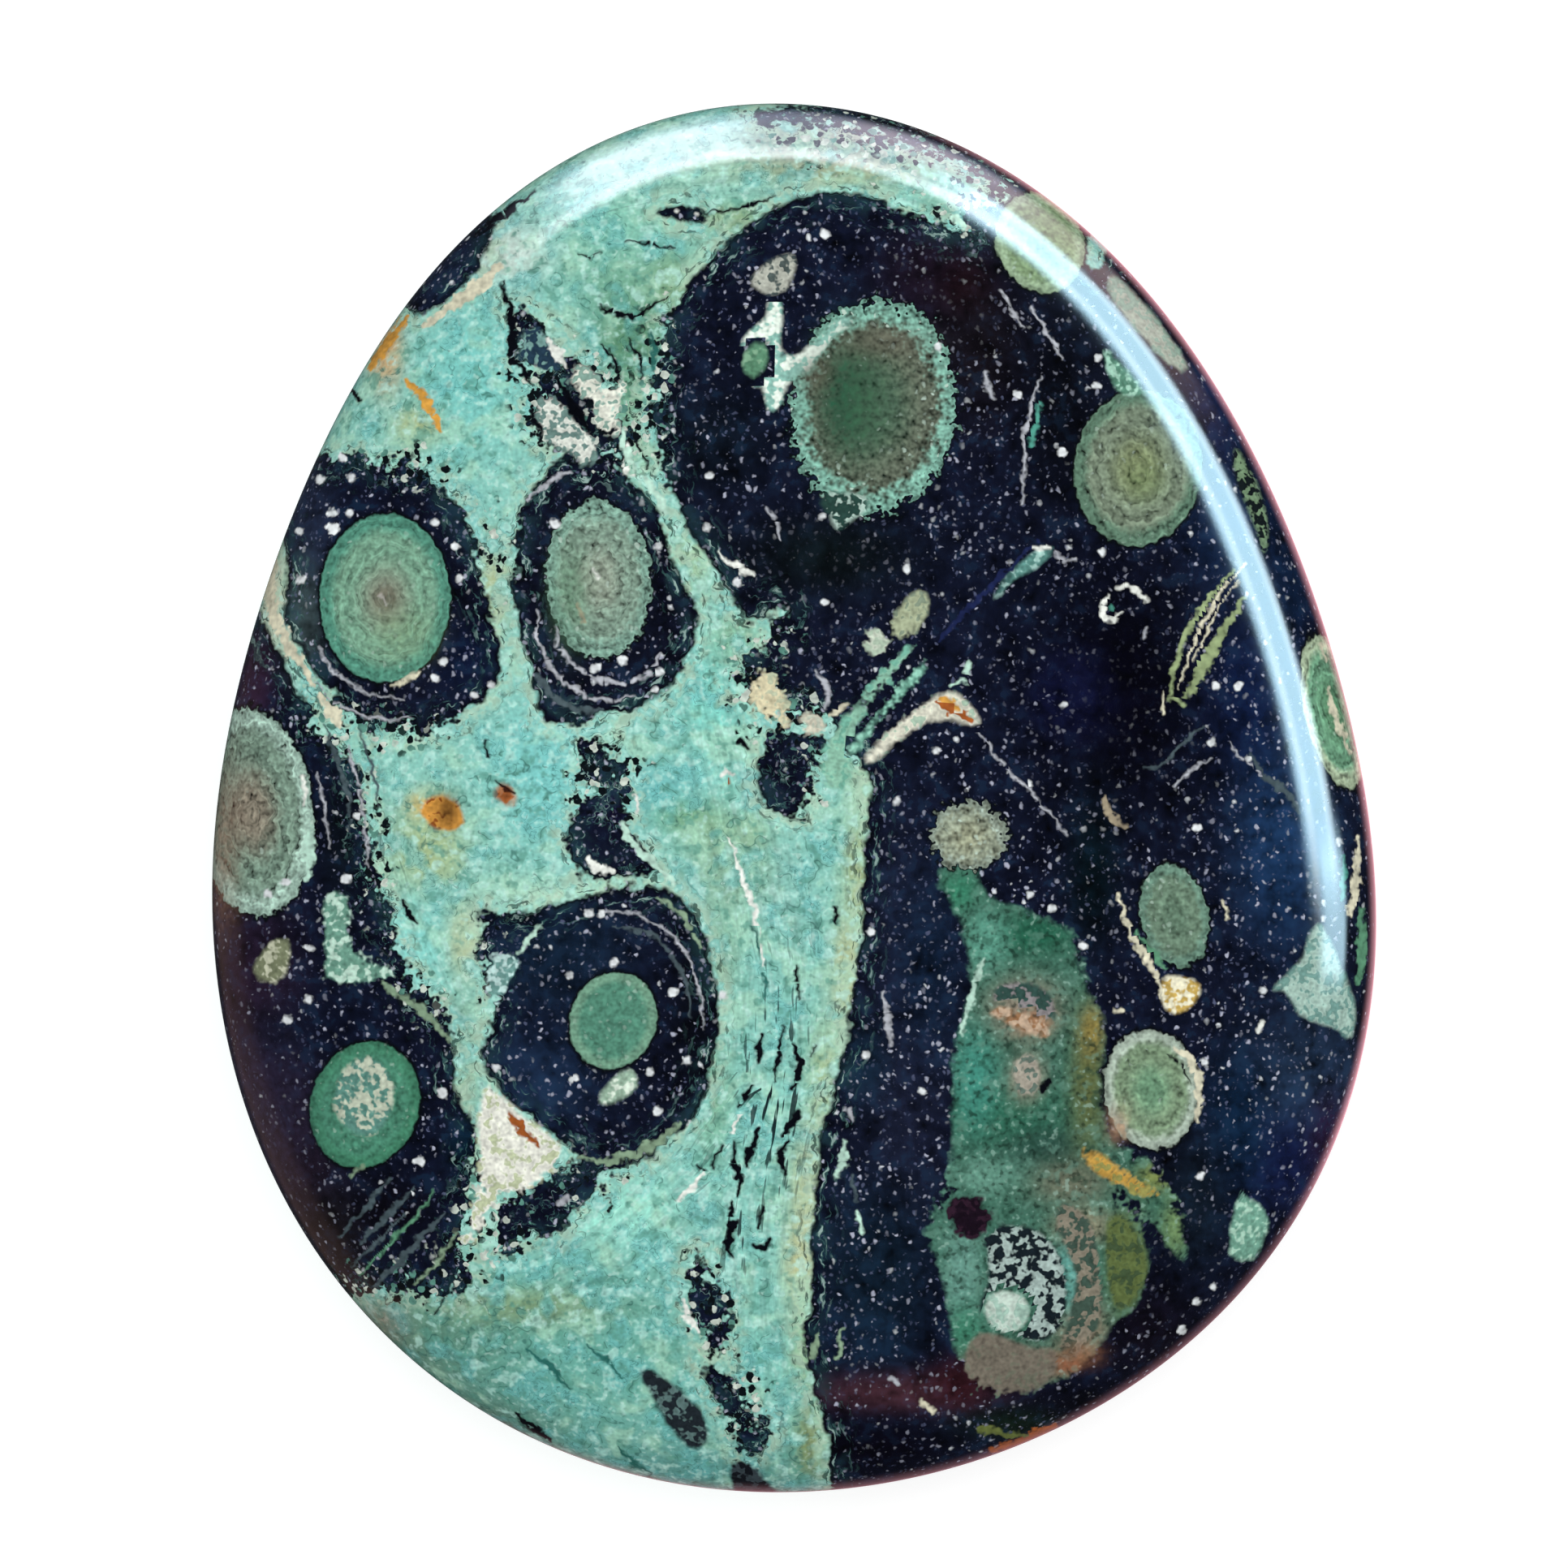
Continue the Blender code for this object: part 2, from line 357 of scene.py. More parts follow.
# Patches of one colour with flecks of another: colour, fleck colour, how flecked, and a closed outline.
PATCHES = {
    "cream_triangle": (
        "#E8EADE", "#B4BE9C", 0.2,
        [(-10.0, -9.0), (-9.5, -9.6), (-7.4, -11.2), (-7.6, -11.7), (-8.5, -12.6), (-9.2, -12.7),
         (-9.6, -12.6), (-9.9, -13.8), (-10.4, -14.3), (-10.75, -14.3), (-10.4, -13.6), (-10.1, -12.2),
         (-10.2, -10.6)]
    ),
    "orange_spot_left": (
        "#D09440", "#8A4A1C", 0.15,
        [(-12.2, -0.4), (-11.8, 0.05), (-11.1, 0.1), (-10.7, -0.4), (-10.6, -1.0), (-11.1, -1.1),
         (-11.7, -0.9)]
    ),
    "orange_spot_right": (
        "#C4733C", "#6A3418", 0.2,
        [(-9.7, 0.3), (-9.3, 0.55), (-8.95, 0.2), (-8.9, -0.2), (-9.2, -0.35), (-9.6, -0.05)]
    ),
    "cream_vein": (
        "#DCDCCA", "#9FB8A4", 0.2,
        [(2.2, 1.1), (2.7, 1.2), (3.3, 1.8), (4.5, 2.65), (6.2, 2.2), (5.5, 3.2), (5.0, 3.45), (4.4, 3.2),
         (2.6, 1.8)]
    ),
    "teal_vein": (
        "#8CC0A8", "#6CA894", 0.25,
        [(0.9, 0.2), (0.9, 1.2), (1.2, 2.1), (3.4, 4.7), (4.0, 5.0), (2.1, 2.6), (1.8, 1.6), (1.9, 0.4)]
    ),
    "teal_strand": (
        "#74AE9A", "#8CC4B0", 0.25,
        [(1.7, 1.3), (2.2, 2.2), (4.3, 4.6), (4.2, 4.05), (2.4, 2.1), (2.1, 1.5)]
    ),
    "cream_patch_left": (
        "#DCD4B0", "#B4BCA0", 0.2,
        [(-1.5, 3.7), (-1.2, 4.0), (-0.8, 4.0), (-0.4, 3.6), (-0.5, 3.2), (-0.05, 2.4), (-0.3, 2.15),
         (-1.45, 3.1)]
    ),
    "cream_patch_right": (
        "#D4D0BC", "#B0B8A8", 0.2,
        [(0.1, 2.5), (0.5, 2.75), (0.95, 2.6), (1.05, 2.2), (0.7, 2.0), (0.25, 2.1)]
    ),
    "olive_lump": (
        "#A9B494", "#7C8C78", 0.25,
        [(2.9, 5.2), (3.1, 5.75), (3.9, 6.75), (4.35, 6.5), (4.3, 5.9), (4.0, 5.4), (3.5, 5.15)]
    ),
    "mint_lump": (
        "#C4D0BE", "#A4B8A4", 0.2,
        [(2.2, 5.1), (2.5, 5.4), (2.9, 5.35), (3.05, 5.0), (2.95, 4.7), (2.5, 4.6)]
    ),
    "teal_wedge": (
        "#5C9088", "#9CC4BC", 0.3,
        [(6.4, 6.2), (6.6, 6.9), (7.0, 7.4), (8.1, 8.1), (8.4, 8.1), (8.1, 7.6), (6.9, 6.9)]
    ),
    "left_teal": (
        "#6E9E8C", "#B4D4C4", 0.35,
        [(-15.2, -3.2), (-14.7, -3.0), (-14.3, -3.4), (-14.4, -4.6), (-13.9, -5.3), (-13.0, -5.5),
         (-12.8, -5.8), (-15.2, -6.0), (-15.1, -5.0)]
    ),
    "left_olive": (
        "#7C8468", "#B8BCA4", 0.35,
        [(-16.5, -4.4), (-16.2, -4.7), (-16.5, -6.0), (-17.6, -5.8), (-17.1, -4.8)]
    ),
    "teal_notch": (
        "#6C9A94", "#B0D0CC", 0.4,
        [(-9.9, -5.1), (-9.3, -5.2), (-8.8, -5.0), (-8.9, -5.7), (-9.3, -6.0), (-9.4, -6.5), (-9.7, -6.8)]
    ),
    "pale_blob": (
        "#9DBCA6", "#D0E0D0", 0.3,
        [(-6.2, -10.0), (-6.3, -9.6), (-5.6, -8.8), (-5.2, -8.7), (-5.0, -9.1), (-5.2, -9.5)]
    ),
    "speckled_core": (
        "#5E9084", "#B8C2AE", 0.45,
        [(-14.5, -8.7), (-13.9, -8.3), (-13.2, -8.6), (-12.9, -9.3), (-12.95, -10.1), (-13.3, -10.7),
         (-13.9, -10.9), (-14.5, -10.6), (-14.9, -10.0), (-14.8, -9.3)]
    ),
    "aqua_strand": (
        "#96CCBE", "#E0EEE2", 0.5,
        [(-0.75, 16.3), (-0.35, 16.3), (-0.5, 14.5), (-0.2, 14.2), (0.3, 14.3), (1.7, 15.7), (2.0, 15.4),
         (1.2, 14.9), (0.7, 14.1), (0.2, 13.6), (-0.3, 13.4), (-0.4, 12.6), (-0.8, 12.4), (-1.0, 12.9),
         (-0.9, 13.3), (-1.4, 13.2), (-1.3, 13.5), (-0.8, 13.9), (-0.8, 14.6), (-1.1, 15.0), (-1.75, 14.2),
         (-1.7, 14.7), (-1.3, 15.2), (-0.95, 15.3)]
    ),
    "strand_eye": (
        "#5C8E70", "#7CA688", 0.2,
        [(-1.7, 14.1), (-1.5, 14.5), (-1.1, 14.75), (-0.85, 14.4), (-0.85, 13.9), (-1.2, 13.5), (-1.55, 13.5)]
    ),
    "cream_lump": (
        "#B8BCB0", "#4A5654", 0.4,
        [(-1.4, 16.4), (-1.35, 16.9), (-0.8, 17.3), (-0.2, 17.6), (0.1, 17.4), (0.0, 16.8), (-0.3, 16.3),
         (-0.7, 16.2)]
    ),
    "white_lump": (
        "#BFDCD0", "#26423C", 0.55,
        [(0.8, 9.9), (0.9, 9.4), (1.2, 9.1), (1.2, 8.7), (1.6, 8.6), (1.9, 9.0), (2.4, 9.2), (2.5, 9.6),
         (2.2, 9.8)]
    ),
    "right_arm": (
        "#5C8E78", "#9CC8B4", 0.4,
        [(10.0, 14.6), (11.6, 13.0), (10.8, 12.9), (10.4, 13.1), (10.0, 14.1)]
    ),
    "rim_grey_green": (
        "#A2B0A0", "#7E9C8C", 0.4,
        [(10.2, 17.0), (10.8, 16.6), (11.5, 15.8), (12.8, 14.0), (12.4, 13.7), (11.2, 14.9), (10.1, 16.3)]
    ),
    "rim_stripes": (
        "#7C9A78", "#10181A", 0.6,
        [(14.2, 11.3), (14.5, 11.2), (15.3, 9.4), (15.4, 8.2), (15.1, 7.8), (14.9, 8.8), (14.2, 10.4)]
    ),
    "ochre_knot": (
        "#CDAE5C", "#E4E0C4", 0.45,
        [(11.8, -5.7), (13.1, -5.9), (13.0, -6.5), (12.6, -6.9), (12.1, -7.0), (11.8, -6.5)]
    ),
    "mint_rim": (
        "#A9C8BC", "#6C948C", 0.35,
        [(15.3, -6.2), (15.9, -6.2), (16.4, -7.2), (17.5, -7.4), (18.0, -7.9), (18.2, -7.3), (18.1, -6.5),
         (17.2, -4.2), (16.8, -4.0), (16.3, -5.4)]
    ),
    "mint_lower_rim": (
        "#78AC98", "#A4CCB8", 0.25,
        [(14.4, -12.4), (14.6, -12.9), (15.1, -13.2), (15.4, -13.7), (15.0, -14.9), (14.4, -15.0),
         (14.0, -14.6)]
    ),
    "white_core": (
        "#AAC0BA", "#141E24", 0.57,
        [(6.3, -13.9), (7.0, -13.7), (7.8, -13.9), (8.4, -14.4), (8.75, -15.2), (8.8, -16.0), (8.75, -16.8),
         (8.4, -17.4), (7.7, -17.6), (6.1, -16.9), (6.0, -16.2), (6.3, -15.8), (6.2, -14.5)]
    ),
    "white_core_lump": (
        "#C4D8CC", "#9CBCAE", 0.3,
        [(6.1, -16.3), (6.5, -15.9), (7.2, -15.9), (7.6, -16.3), (7.5, -16.9), (7.0, -17.3), (6.4, -17.1)]
    ),
    "taupe_mass": (
        "#746E62", "#686A5C", 0.2,
        [(5.7, -17.4), (6.2, -17.2), (7.7, -17.8), (8.3, -17.7), (8.6, -18.2), (8.2, -18.9), (7.4, -19.2),
         (6.5, -19.2), (5.8, -18.9), (5.4, -18.4)]
    ),
    "speckled_flank": (
        "#8A8474", "#3C5046", 0.5,
        [(8.6, -13.0), (9.3, -13.3), (9.8, -14.2), (10.0, -16.6), (9.2, -18.1), (8.7, -18.2), (8.6, -17.5),
         (8.9, -16.8), (9.1, -15.6), (8.9, -14.8), (8.3, -13.6)]
    ),
    "olive_wing": (
        "#5E6E40", "#3E5036", 0.35,
        [(10.1, -13.4), (10.7, -13.5), (11.5, -15.0), (11.2, -15.9), (10.6, -16.6), (10.2, -16.2),
         (10.0, -14.3)]
    ),
    "grey_knot": (
        "#8F8A8C", "#2E4A44", 0.45,
        [(6.3, -6.2), (6.9, -5.9), (7.6, -6.0), (8.2, -6.3), (8.5, -6.9), (8.3, -7.3), (7.0, -6.7),
         (6.4, -6.6)]
    ),
    "rust_knot": (
        "#9A7250", "#B8A088", 0.4,
        [(6.2, -6.7), (6.9, -6.7), (7.6, -7.0), (8.3, -7.4), (8.2, -7.8), (6.4, -7.1)]
    ),
    "cream_knot": (
        "#A8A294", "#5C6E64", 0.4,
        [(7.1, -8.4), (7.6, -8.2), (7.9, -8.7), (8.0, -9.2), (7.6, -9.7), (7.2, -9.5), (7.0, -8.9)]
    ),
    "maroon_patch": (
        "#190E1A", "#2A1826", 0.2,
        [(5.2, -12.7), (5.9, -12.85), (6.35, -13.3), (6.3, -13.8), (5.9, -14.2), (5.4, -14.1), (5.1, -13.8),
         (4.9, -13.3)]
    ),
    "ochre_streak": (
        "#C69C48", "#8E8A4C", 0.4,
        [(9.3, -11.1), (11.85, -12.75), (11.6, -13.0), (10.1, -12.3), (9.5, -11.9), (9.2, -11.5)]
    ),
    "teal_pocket": (
        "#7CA8A2", "#22384A", 0.55,
        [(-8.9, 14.9), (-8.4, 15.3), (-8.0, 15.0), (-7.3, 13.9), (-7.8, 13.8), (-8.5, 14.0), (-8.9, 14.3)]
    ),
    "breccia_upper_lump": (
        "#E4E8DA", "#7C9C90", 0.3,
        [(-7.15, 13.95), (-6.7, 13.95), (-6.4, 13.4), (-6.0, 13.2), (-5.5, 13.5), (-5.3, 13.2), (-5.8, 12.3),
         (-5.5, 11.9), (-5.7, 11.6), (-6.6, 12.0), (-6.3, 12.5), (-7.15, 13.2)]
    ),
    "breccia_lower_lump": (
        "#E0E6DC", "#64827C", 0.4,
        [(-8.25, 12.9), (-7.9, 12.95), (-7.3, 12.6), (-7.2, 12.3), (-6.4, 11.6), (-6.4, 11.1), (-6.8, 10.6),
         (-7.0, 11.1), (-7.6, 11.25), (-8.0, 11.6), (-8.3, 12.2)]
    ),
    "grey_lens": (
        "#5E7A78", "#1E262C", 0.7,
        [(-5.0, -18.4), (-4.4, -18.5), (-3.4, -19.3), (-2.7, -20.4), (-2.8, -20.9), (-3.3, -21.1),
         (-3.8, -20.6), (-4.9, -18.9)]
    ),
    "bottom_lens": (
        "#3A464C", "#10141A", 0.5,
        [(-2.0, -21.4), (-1.2, -21.6), (-0.9, -22.1), (-0.3, -22.6), (-1.8, -22.9), (-2.1, -22.0)]
    ),
}

# Lines and dots: colour, half width, and the points the line runs through.
MARKS = [
    ("cream", 0.15, [(-16.75, 8.0), (-17.0, 6.9), (-16.85, 5.9), (-16.45, 5.1), (-15.5, 3.6)]),
    ("cream", 0.18, [(-15.3, 3.3), (-14.8, 2.7), (-14.7, 2.3)]),
    ("white", 0.09, [(-13.35, 6.55), (-13.15, 6.25)]),
    ("lilac", 0.035, [(-15.9, 4.3), (-15.0, 3.2), (-13.8, 2.6), (-12.4, 2.5)]),
    ("lilac", 0.03, [(-15.4, 4.9), (-14.7, 3.9), (-13.6, 3.3), (-12.6, 3.2)]),
    ("slate", 0.06, [(-15.2, 2.4), (-14.7, 1.2), (-14.4, 0.1), (-14.3, -1.0)]),
    ("lilac", 0.035, [(-14.4, 1.7), (-14.0, 0.4), (-13.7, -2.2)]),
    ("lilac", 0.03, [(-15.4, 0.8), (-15.1, -0.4), (-15.0, -1.6)]),
    ("slate", 0.05, [(-14.0, 2.2), (-13.6, 1.0), (-13.4, -0.2)]),
    ("cream", 0.08, [(-13.0, 3.55), (-12.5, 3.8), (-12.05, 4.05)]),
    ("white", 0.06, [(-6.5, 7.4), (-6.3, 7.1)]),
    ("tan", 0.1, [(-6.95, 6.2), (-6.8, 5.7)]),
    (
        "lilac", 0.05,
        [(-8.2, 6.1), (-8.35, 5.4), (-8.0, 4.5), (-7.4, 3.7), (-6.7, 3.25), (-5.9, 3.15), (-5.1, 3.3)],
    ),
    (
        "lilac", 0.05,
        [(-7.7, 5.6), (-7.6, 4.9), (-7.0, 4.2), (-6.2, 3.75), (-5.4, 3.7), (-4.6, 4.0), (-4.3, 4.6)],
    ),
    ("slate", 0.1, [(-8.3, 4.0), (-7.8, 3.3), (-7.0, 2.8), (-6.2, 2.8)]),
    ("lilac", 0.06, [(-8.6, 9.6), (-8.2, 10.0), (-7.6, 10.4), (-7.2, 10.5)]),
    ("white", 0.07, [(-2.4, 7.9), (-1.7, 7.3), (-1.3, 7.15)]),
    ("lilac", 0.06, [(-0.9, 9.3), (-0.65, 9.0), (-0.42, 8.3)]),
    ("lilac", 0.06, [(0.75, 4.1), (1.0, 3.7), (1.1, 3.3), (1.0, 2.9)]),
    ("cream", 0.09, [(1.1, 2.6), (1.4, 2.85), (1.7, 3.0)]),
    ("rust", 0.23, [(4.65, 3.1), (5.1, 2.9), (5.7, 2.5)]),
    ("ochre", 0.15, [(4.7, 3.2), (5.0, 3.05), (5.3, 2.85)]),
    ("mint", 0.2, [(5.6, 4.35), (5.55, 4.0)]),
    ("mint", 0.12, [(5.5, 3.8), (5.0, 3.6)]),
    ("lilac", 0.12, [(6.2, 1.8), (6.4, 1.45)]),
    ("indigo", 0.09, [(4.6, 5.0), (5.4, 5.9), (7.85, 8.3)]),
    ("lilac", 0.045, [(7.95, 13.6), (7.45, 12.0), (7.35, 9.5)]),
    ("teal", 0.08, [(7.9, 12.7), (7.8, 12.0), (7.6, 11.3)]),
    ("lilac", 0.07, [(6.2, 13.7), (6.25, 13.2), (6.45, 12.9)]),
    ("white", 0.07, [(7.7, 8.08), (7.95, 8.08), (8.25, 8.02)]),
    ("lilac", 0.06, [(8.4, 7.9), (8.7, 7.6), (9.05, 7.65)]),
    ("white", 0.08, [(10.3, 6.75), (10.7, 6.85), (11.1, 6.65), (11.4, 6.35)]),
    ("white", 0.07, [(10.15, 6.6), (9.9, 6.3), (9.95, 5.85), (10.3, 5.75), (10.55, 6.0)]),
    ("teal", 0.16, [(10.2, 6.15), (10.22, 6.1)]),
    ("lilac", 0.08, [(11.35, 5.5), (11.3, 5.2)]),
    ("cream", 0.05, [(14.6, 7.6), (13.8, 6.7), (13.1, 5.6), (12.4, 3.6)]),
    ("olive", 0.07, [(14.2, 7.4), (13.3, 6.3), (12.6, 5.2), (12.2, 4.0), (12.1, 3.3)]),
    ("olive", 0.15, [(14.5, 6.4), (13.4, 4.7), (13.0, 3.8), (12.6, 3.2)]),
    ("cream", 0.03, [(14.4, 7.0), (13.7, 6.2), (13.2, 5.2), (12.9, 4.4)]),
    ("olive", 0.16, [(12.1, 3.2), (12.6, 3.0)]),
    ("cream", 0.08, [(11.9, 3.4), (11.85, 2.7)]),
    ("slate", 0.09, [(14.7, 1.4), (15.2, 0.7), (15.8, 0.2), (16.3, -0.5)]),
    ("lilac", 0.035, [(14.0, 1.8), (14.9, 0.9), (15.7, 0.3)]),
    ("lilac", 0.03, [(5.9, 2.1), (6.8, 1.0), (7.8, 0.0), (8.8, -1.2)]),
    ("slate", 0.05, [(11.3, 0.9), (12.0, 1.2), (12.6, 1.9), (13.2, 2.3)]),
    ("lilac", 0.04, [(12.2, 0.3), (12.7, 0.9), (13.4, 1.2)]),
    ("tan", 0.14, [(10.0, 0.0), (10.15, -0.5), (10.6, -0.9)]),
    ("cream", 0.08, [(10.45, -3.1), (10.6, -3.8), (10.85, -4.4), (11.7, -5.7), (11.8, -6.4)]),
    ("green", 0.08, [(11.0, -4.3), (11.5, -5.0), (12.0, -5.5)]),
    ("cream", 0.1, [(13.8, -3.3), (13.95, -3.9)]),
    ("cream", 0.16, [(10.35, -6.85), (10.6, -6.85)]),
    ("cream", 0.1, [(12.95, -10.4), (13.05, -9.7), (13.0, -9.0), (12.75, -8.4), (12.3, -8.0)]),
    ("ink", 0.05, [(12.75, -9.2), (12.5, -8.6), (12.1, -8.2)]),
    ("tan", 0.22, [(10.45, -10.6), (10.6, -10.9)]),
    ("white", 0.16, [(15.1, -7.2), (15.0, -7.5)]),
    ("cream", 0.14, [(18.25, -1.3), (18.1, -3.1), (17.9, -3.8)]),
    ("teal", 0.1, [(17.7, -1.9), (17.75, -2.8), (17.7, -3.3)]),
    ("green", 0.14, [(18.35, -3.6), (18.35, -4.8), (18.25, -6.0)]),
    ("cream", 0.16, [(17.0, 5.0), (17.15, 4.5)]),
    ("cream", 0.1, [(17.25, 3.6), (17.4, 2.8), (18.0, 1.5)]),
    # Along the upper-left rim: a thin black line of painted reflection.
    ("ink", 0.1, [(-10.3, 18.2), (-9.4, 18.9), (-8.4, 19.6)]),
    ("mint", 0.2, [(5.2, 18.7), (5.55, 18.3)]),
    ("lilac", 0.07, [(7.7, 15.8), (8.4, 14.6), (8.6, 14.2)]),
    ("lilac", 0.06, [(6.7, 16.4), (7.0, 15.8), (7.4, 15.2)]),
    ("ink", 0.07, [(-9.6, 0.6), (-9.3, 0.3), (-9.05, 0.15)]),
    ("ink", 0.11, [(-9.9, 1.8), (-9.85, 1.3)]),
    ("rust", 0.11, [(-2.15, 0.7), (-2.1, 0.5)]),
    ("white", 0.08, [(-2.35, 0.7), (-2.2, 0.85), (-1.95, 0.75)]),
    ("ink", 0.09, [(-1.9, 2.2), (-1.8, 1.9), (-1.5, 1.65)]),
    ("white", 0.13, [(-5.1, 0.1), (-5.05, -0.4)]),
    ("mint", 0.14, [(-5.5, -0.8), (-5.4, -1.2), (-3.8, -2.8)]),
    ("white", 0.14, [(-6.6, -2.0), (-6.4, -2.3), (-5.9, -2.35)]),
    ("white", 0.055, [(-2.1, -1.3), (-1.5, -2.9), (-1.1, -4.6), (-1.0, -5.4)]),
    ("deep_teal", 0.05, [(-1.35, -4.0), (-1.05, -5.2), (-0.9, -6.4)]),
    ("ink", 0.15, [(1.3, -3.5), (1.4, -4.0)]),
    ("ink", 0.06, [(0.05, -5.3), (0.1, -5.8), (0.1, -6.5)]),
    ("ink", 0.11, [(-1.05, -7.6), (-1.15, -8.1), (-1.2, -8.5)]),
    ("ink", 0.07, [(-0.33, -7.4), (-0.5, -8.1), (-0.6, -9.1)]),
    ("ink", 0.07, [(0.65, -7.9), (0.5, -8.3)]),
    ("ink", 0.1, [(0.0, -7.9), (0.15, -8.5), (0.15, -9.0), (-0.1, -9.4)]),
    ("ink", 0.1, [(-1.4, -9.2), (-1.6, -9.7), (-1.8, -9.95)]),
    ("ink", 0.12, [(0.15, -10.1), (-0.1, -10.5), (-0.45, -10.9)]),
    ("ink", 0.11, [(-0.2, -11.1), (-0.5, -11.5), (-0.3, -12.1)]),
    ("ink", 0.12, [(-1.2, -10.7), (-1.35, -11.3), (-1.55, -11.8)]),
    ("ink", 0.09, [(-1.9, -11.1), (-1.95, -11.8), (-1.75, -12.3), (-1.85, -12.8)]),
    ("ink", 0.11, [(-2.35, -11.2), (-2.6, -11.9)]),
    ("ink", 0.08, [(-3.1, -11.8), (-2.75, -12.1)]),
    ("ink", 0.12, [(-2.1, -13.0), (-2.0, -13.7), (-2.1, -14.3), (-2.05, -14.8)]),
    ("ink", 0.12, [(-1.0, -13.1), (-1.15, -13.8)]),
    ("ink", 0.09, [(-1.3, -14.4), (-0.95, -14.5), (-0.75, -14.2)]),
    ("white", 0.13, [(-1.8, -10.2), (-2.0, -10.8)]),
    ("white", 0.08, [(-2.9, -12.1), (-3.4, -12.6), (-3.7, -13.0)]),
    ("white", 0.12, [(-3.6, -16.2), (-3.4, -16.8), (-3.1, -17.2)]),
    ("deep_teal", 0.08, [(-8.6, -17.75), (-7.9, -18.35), (-7.2, -19.05)]),
    ("deep_teal", 0.06, [(-6.7, -17.6), (-6.0, -18.2), (-5.5, -18.8)]),
    ("deep_teal", 0.07, [(-5.7, -20.9), (-5.2, -21.5), (-4.6, -21.95)]),
    ("ink", 0.14, [(-9.0, -19.9), (-8.4, -20.4), (-7.9, -20.8)]),
    ("ink", 0.07, [(-11.3, -16.1), (-11.6, -16.7)]),
    ("ink", 0.1, [(-12.6, -3.3), (-12.4, -3.7), (-12.2, -4.0)]),
    ("sage", 0.11, [(-13.3, -6.0), (-12.0, -6.8), (-11.1, -7.8)]),
    ("white", 0.12, [(-15.85, 0.6), (-15.75, -0.2)]),
    ("mint", 0.13, [(-15.6, -0.9), (-15.65, -1.8), (-15.7, -2.7)]),
    ("mint", 0.1, [(-8.9, -5.0), (-8.5, -4.5), (-8.2, -4.2)]),
    ("green", 0.05, [(-11.6, -12.7), (-12.3, -13.6), (-14.0, -15.4)]),
    ("slate", 0.1, [(-11.3, -13.4), (-12.8, -15.0), (-13.6, -15.8)]),
    ("slate", 0.09, [(-12.3, -12.6), (-13.1, -13.5), (-14.0, -14.4)]),
    ("slate", 0.08, [(-13.0, -12.2), (-13.8, -13.2), (-14.7, -14.2)]),
    ("slate", 0.06, [(-12.6, -13.4), (-13.4, -14.3), (-14.3, -15.1)]),
    ("sage", 0.12, [(-13.9, -11.8), (-14.3, -12.3)]),
    ("sage", 0.05, [(-10.9, -14.0), (-11.5, -14.9), (-12.2, -15.7)]),
    ("rust", 0.13, [(-9.2, -10.15), (-8.8, -10.65), (-8.3, -11.2)]),
    ("lilac", 0.2, [(-7.6, -13.1), (-7.3, -12.9)]),
    ("sage", 0.1, [(-7.0, -11.6), (-6.0, -11.7), (-5.0, -11.4), (-4.2, -11.0), (-3.7, -10.4)]),
    ("sage", 0.07, [(-4.4, -3.2), (-3.8, -3.6), (-3.3, -4.2), (-3.0, -4.9)]),
    ("lilac", 0.03, [(-6.5, -3.7), (-5.2, -3.7), (-4.1, -4.2), (-3.4, -5.1), (-3.0, -6.3), (-2.9, -7.4)]),
    ("slate", 0.05, [(-5.8, -4.1), (-4.8, -4.3), (-4.0, -4.9), (-3.5, -5.9), (-3.3, -7.0)]),
    ("ochre", 0.13, [(-12.6, 13.5), (-12.1, 13.1), (-11.7, 12.5), (-11.45, 11.9)]),
    ("ochre", 0.15, [(-12.5, 15.6), (-13.2, 14.7), (-13.7, 13.9)]),
    ("ink", 0.16, [(-14.35, 13.2), (-14.1, 12.9)]),
    ("cream", 0.2, [(-12.0, 15.2), (-10.1, 16.6), (-9.5, 17.2)]),
    ("ink", 0.1, [(-9.45, 16.6), (-9.15, 15.6), (-9.1, 15.0), (-9.2, 14.3), (-8.4, 13.3)]),
    ("ink", 0.08, [(-8.5, 12.6), (-8.35, 12.2), (-8.1, 11.8)]),
    ("ink", 0.14, [(-7.6, 13.4), (-7.0, 12.4), (-6.7, 11.9)]),
    ("white", 0.1, [(-5.35, 11.4), (-5.4, 10.5), (-5.2, 10.4)]),
    ("white", 0.11, [(-8.0, 14.8), (-7.6, 14.4), (-7.35, 13.9)]),
    ("mint", 0.12, [(-5.5, 11.9), (-5.4, 11.2), (-5.2, 10.6)]),
    ("ink", 0.05, [(-5.2, 11.8), (-4.9, 11.1), (-4.6, 10.4)]),
    ("mint", 0.12, [(-4.9, 10.3), (-4.4, 9.7), (-4.1, 9.2)]),
    ("ink", 0.05, [(-5.4, 17.9), (-4.6, 17.85), (-3.8, 17.7)]),
    ("ink", 0.08, [(-6.3, 15.85), (-5.7, 15.55), (-5.2, 15.5), (-4.2, 16.1)]),
    ("ink", 0.07, [(-6.2, 14.6), (-5.8, 14.1), (-5.6, 13.6)]),
    ("ink", 0.06, [(-5.3, 14.8), (-5.0, 14.2), (-4.9, 13.5)]),
    ("deep_teal", 0.08, [(-4.7, 15.0), (-4.5, 14.4), (-4.6, 13.7)]),
    ("ink", 0.05, [(-2.9, 18.8), (-1.5, 19.15), (-0.6, 19.45)]),
    ("ink", 0.04, [(-7.0, 17.6), (-6.6, 17.4), (-6.2, 17.6)]),
    ("white", 0.1, [(-3.8, 18.95), (-3.78, 18.93)]),
    ("white", 0.1, [(-3.15, 18.85), (-3.12, 18.83)]),
    ("ink", 0.24, [(7.95, -9.4), (8.2, -9.1)]),
    ("mint", 0.09, [(6.1, -5.2), (5.8, -6.0), (5.4, -7.6)]),
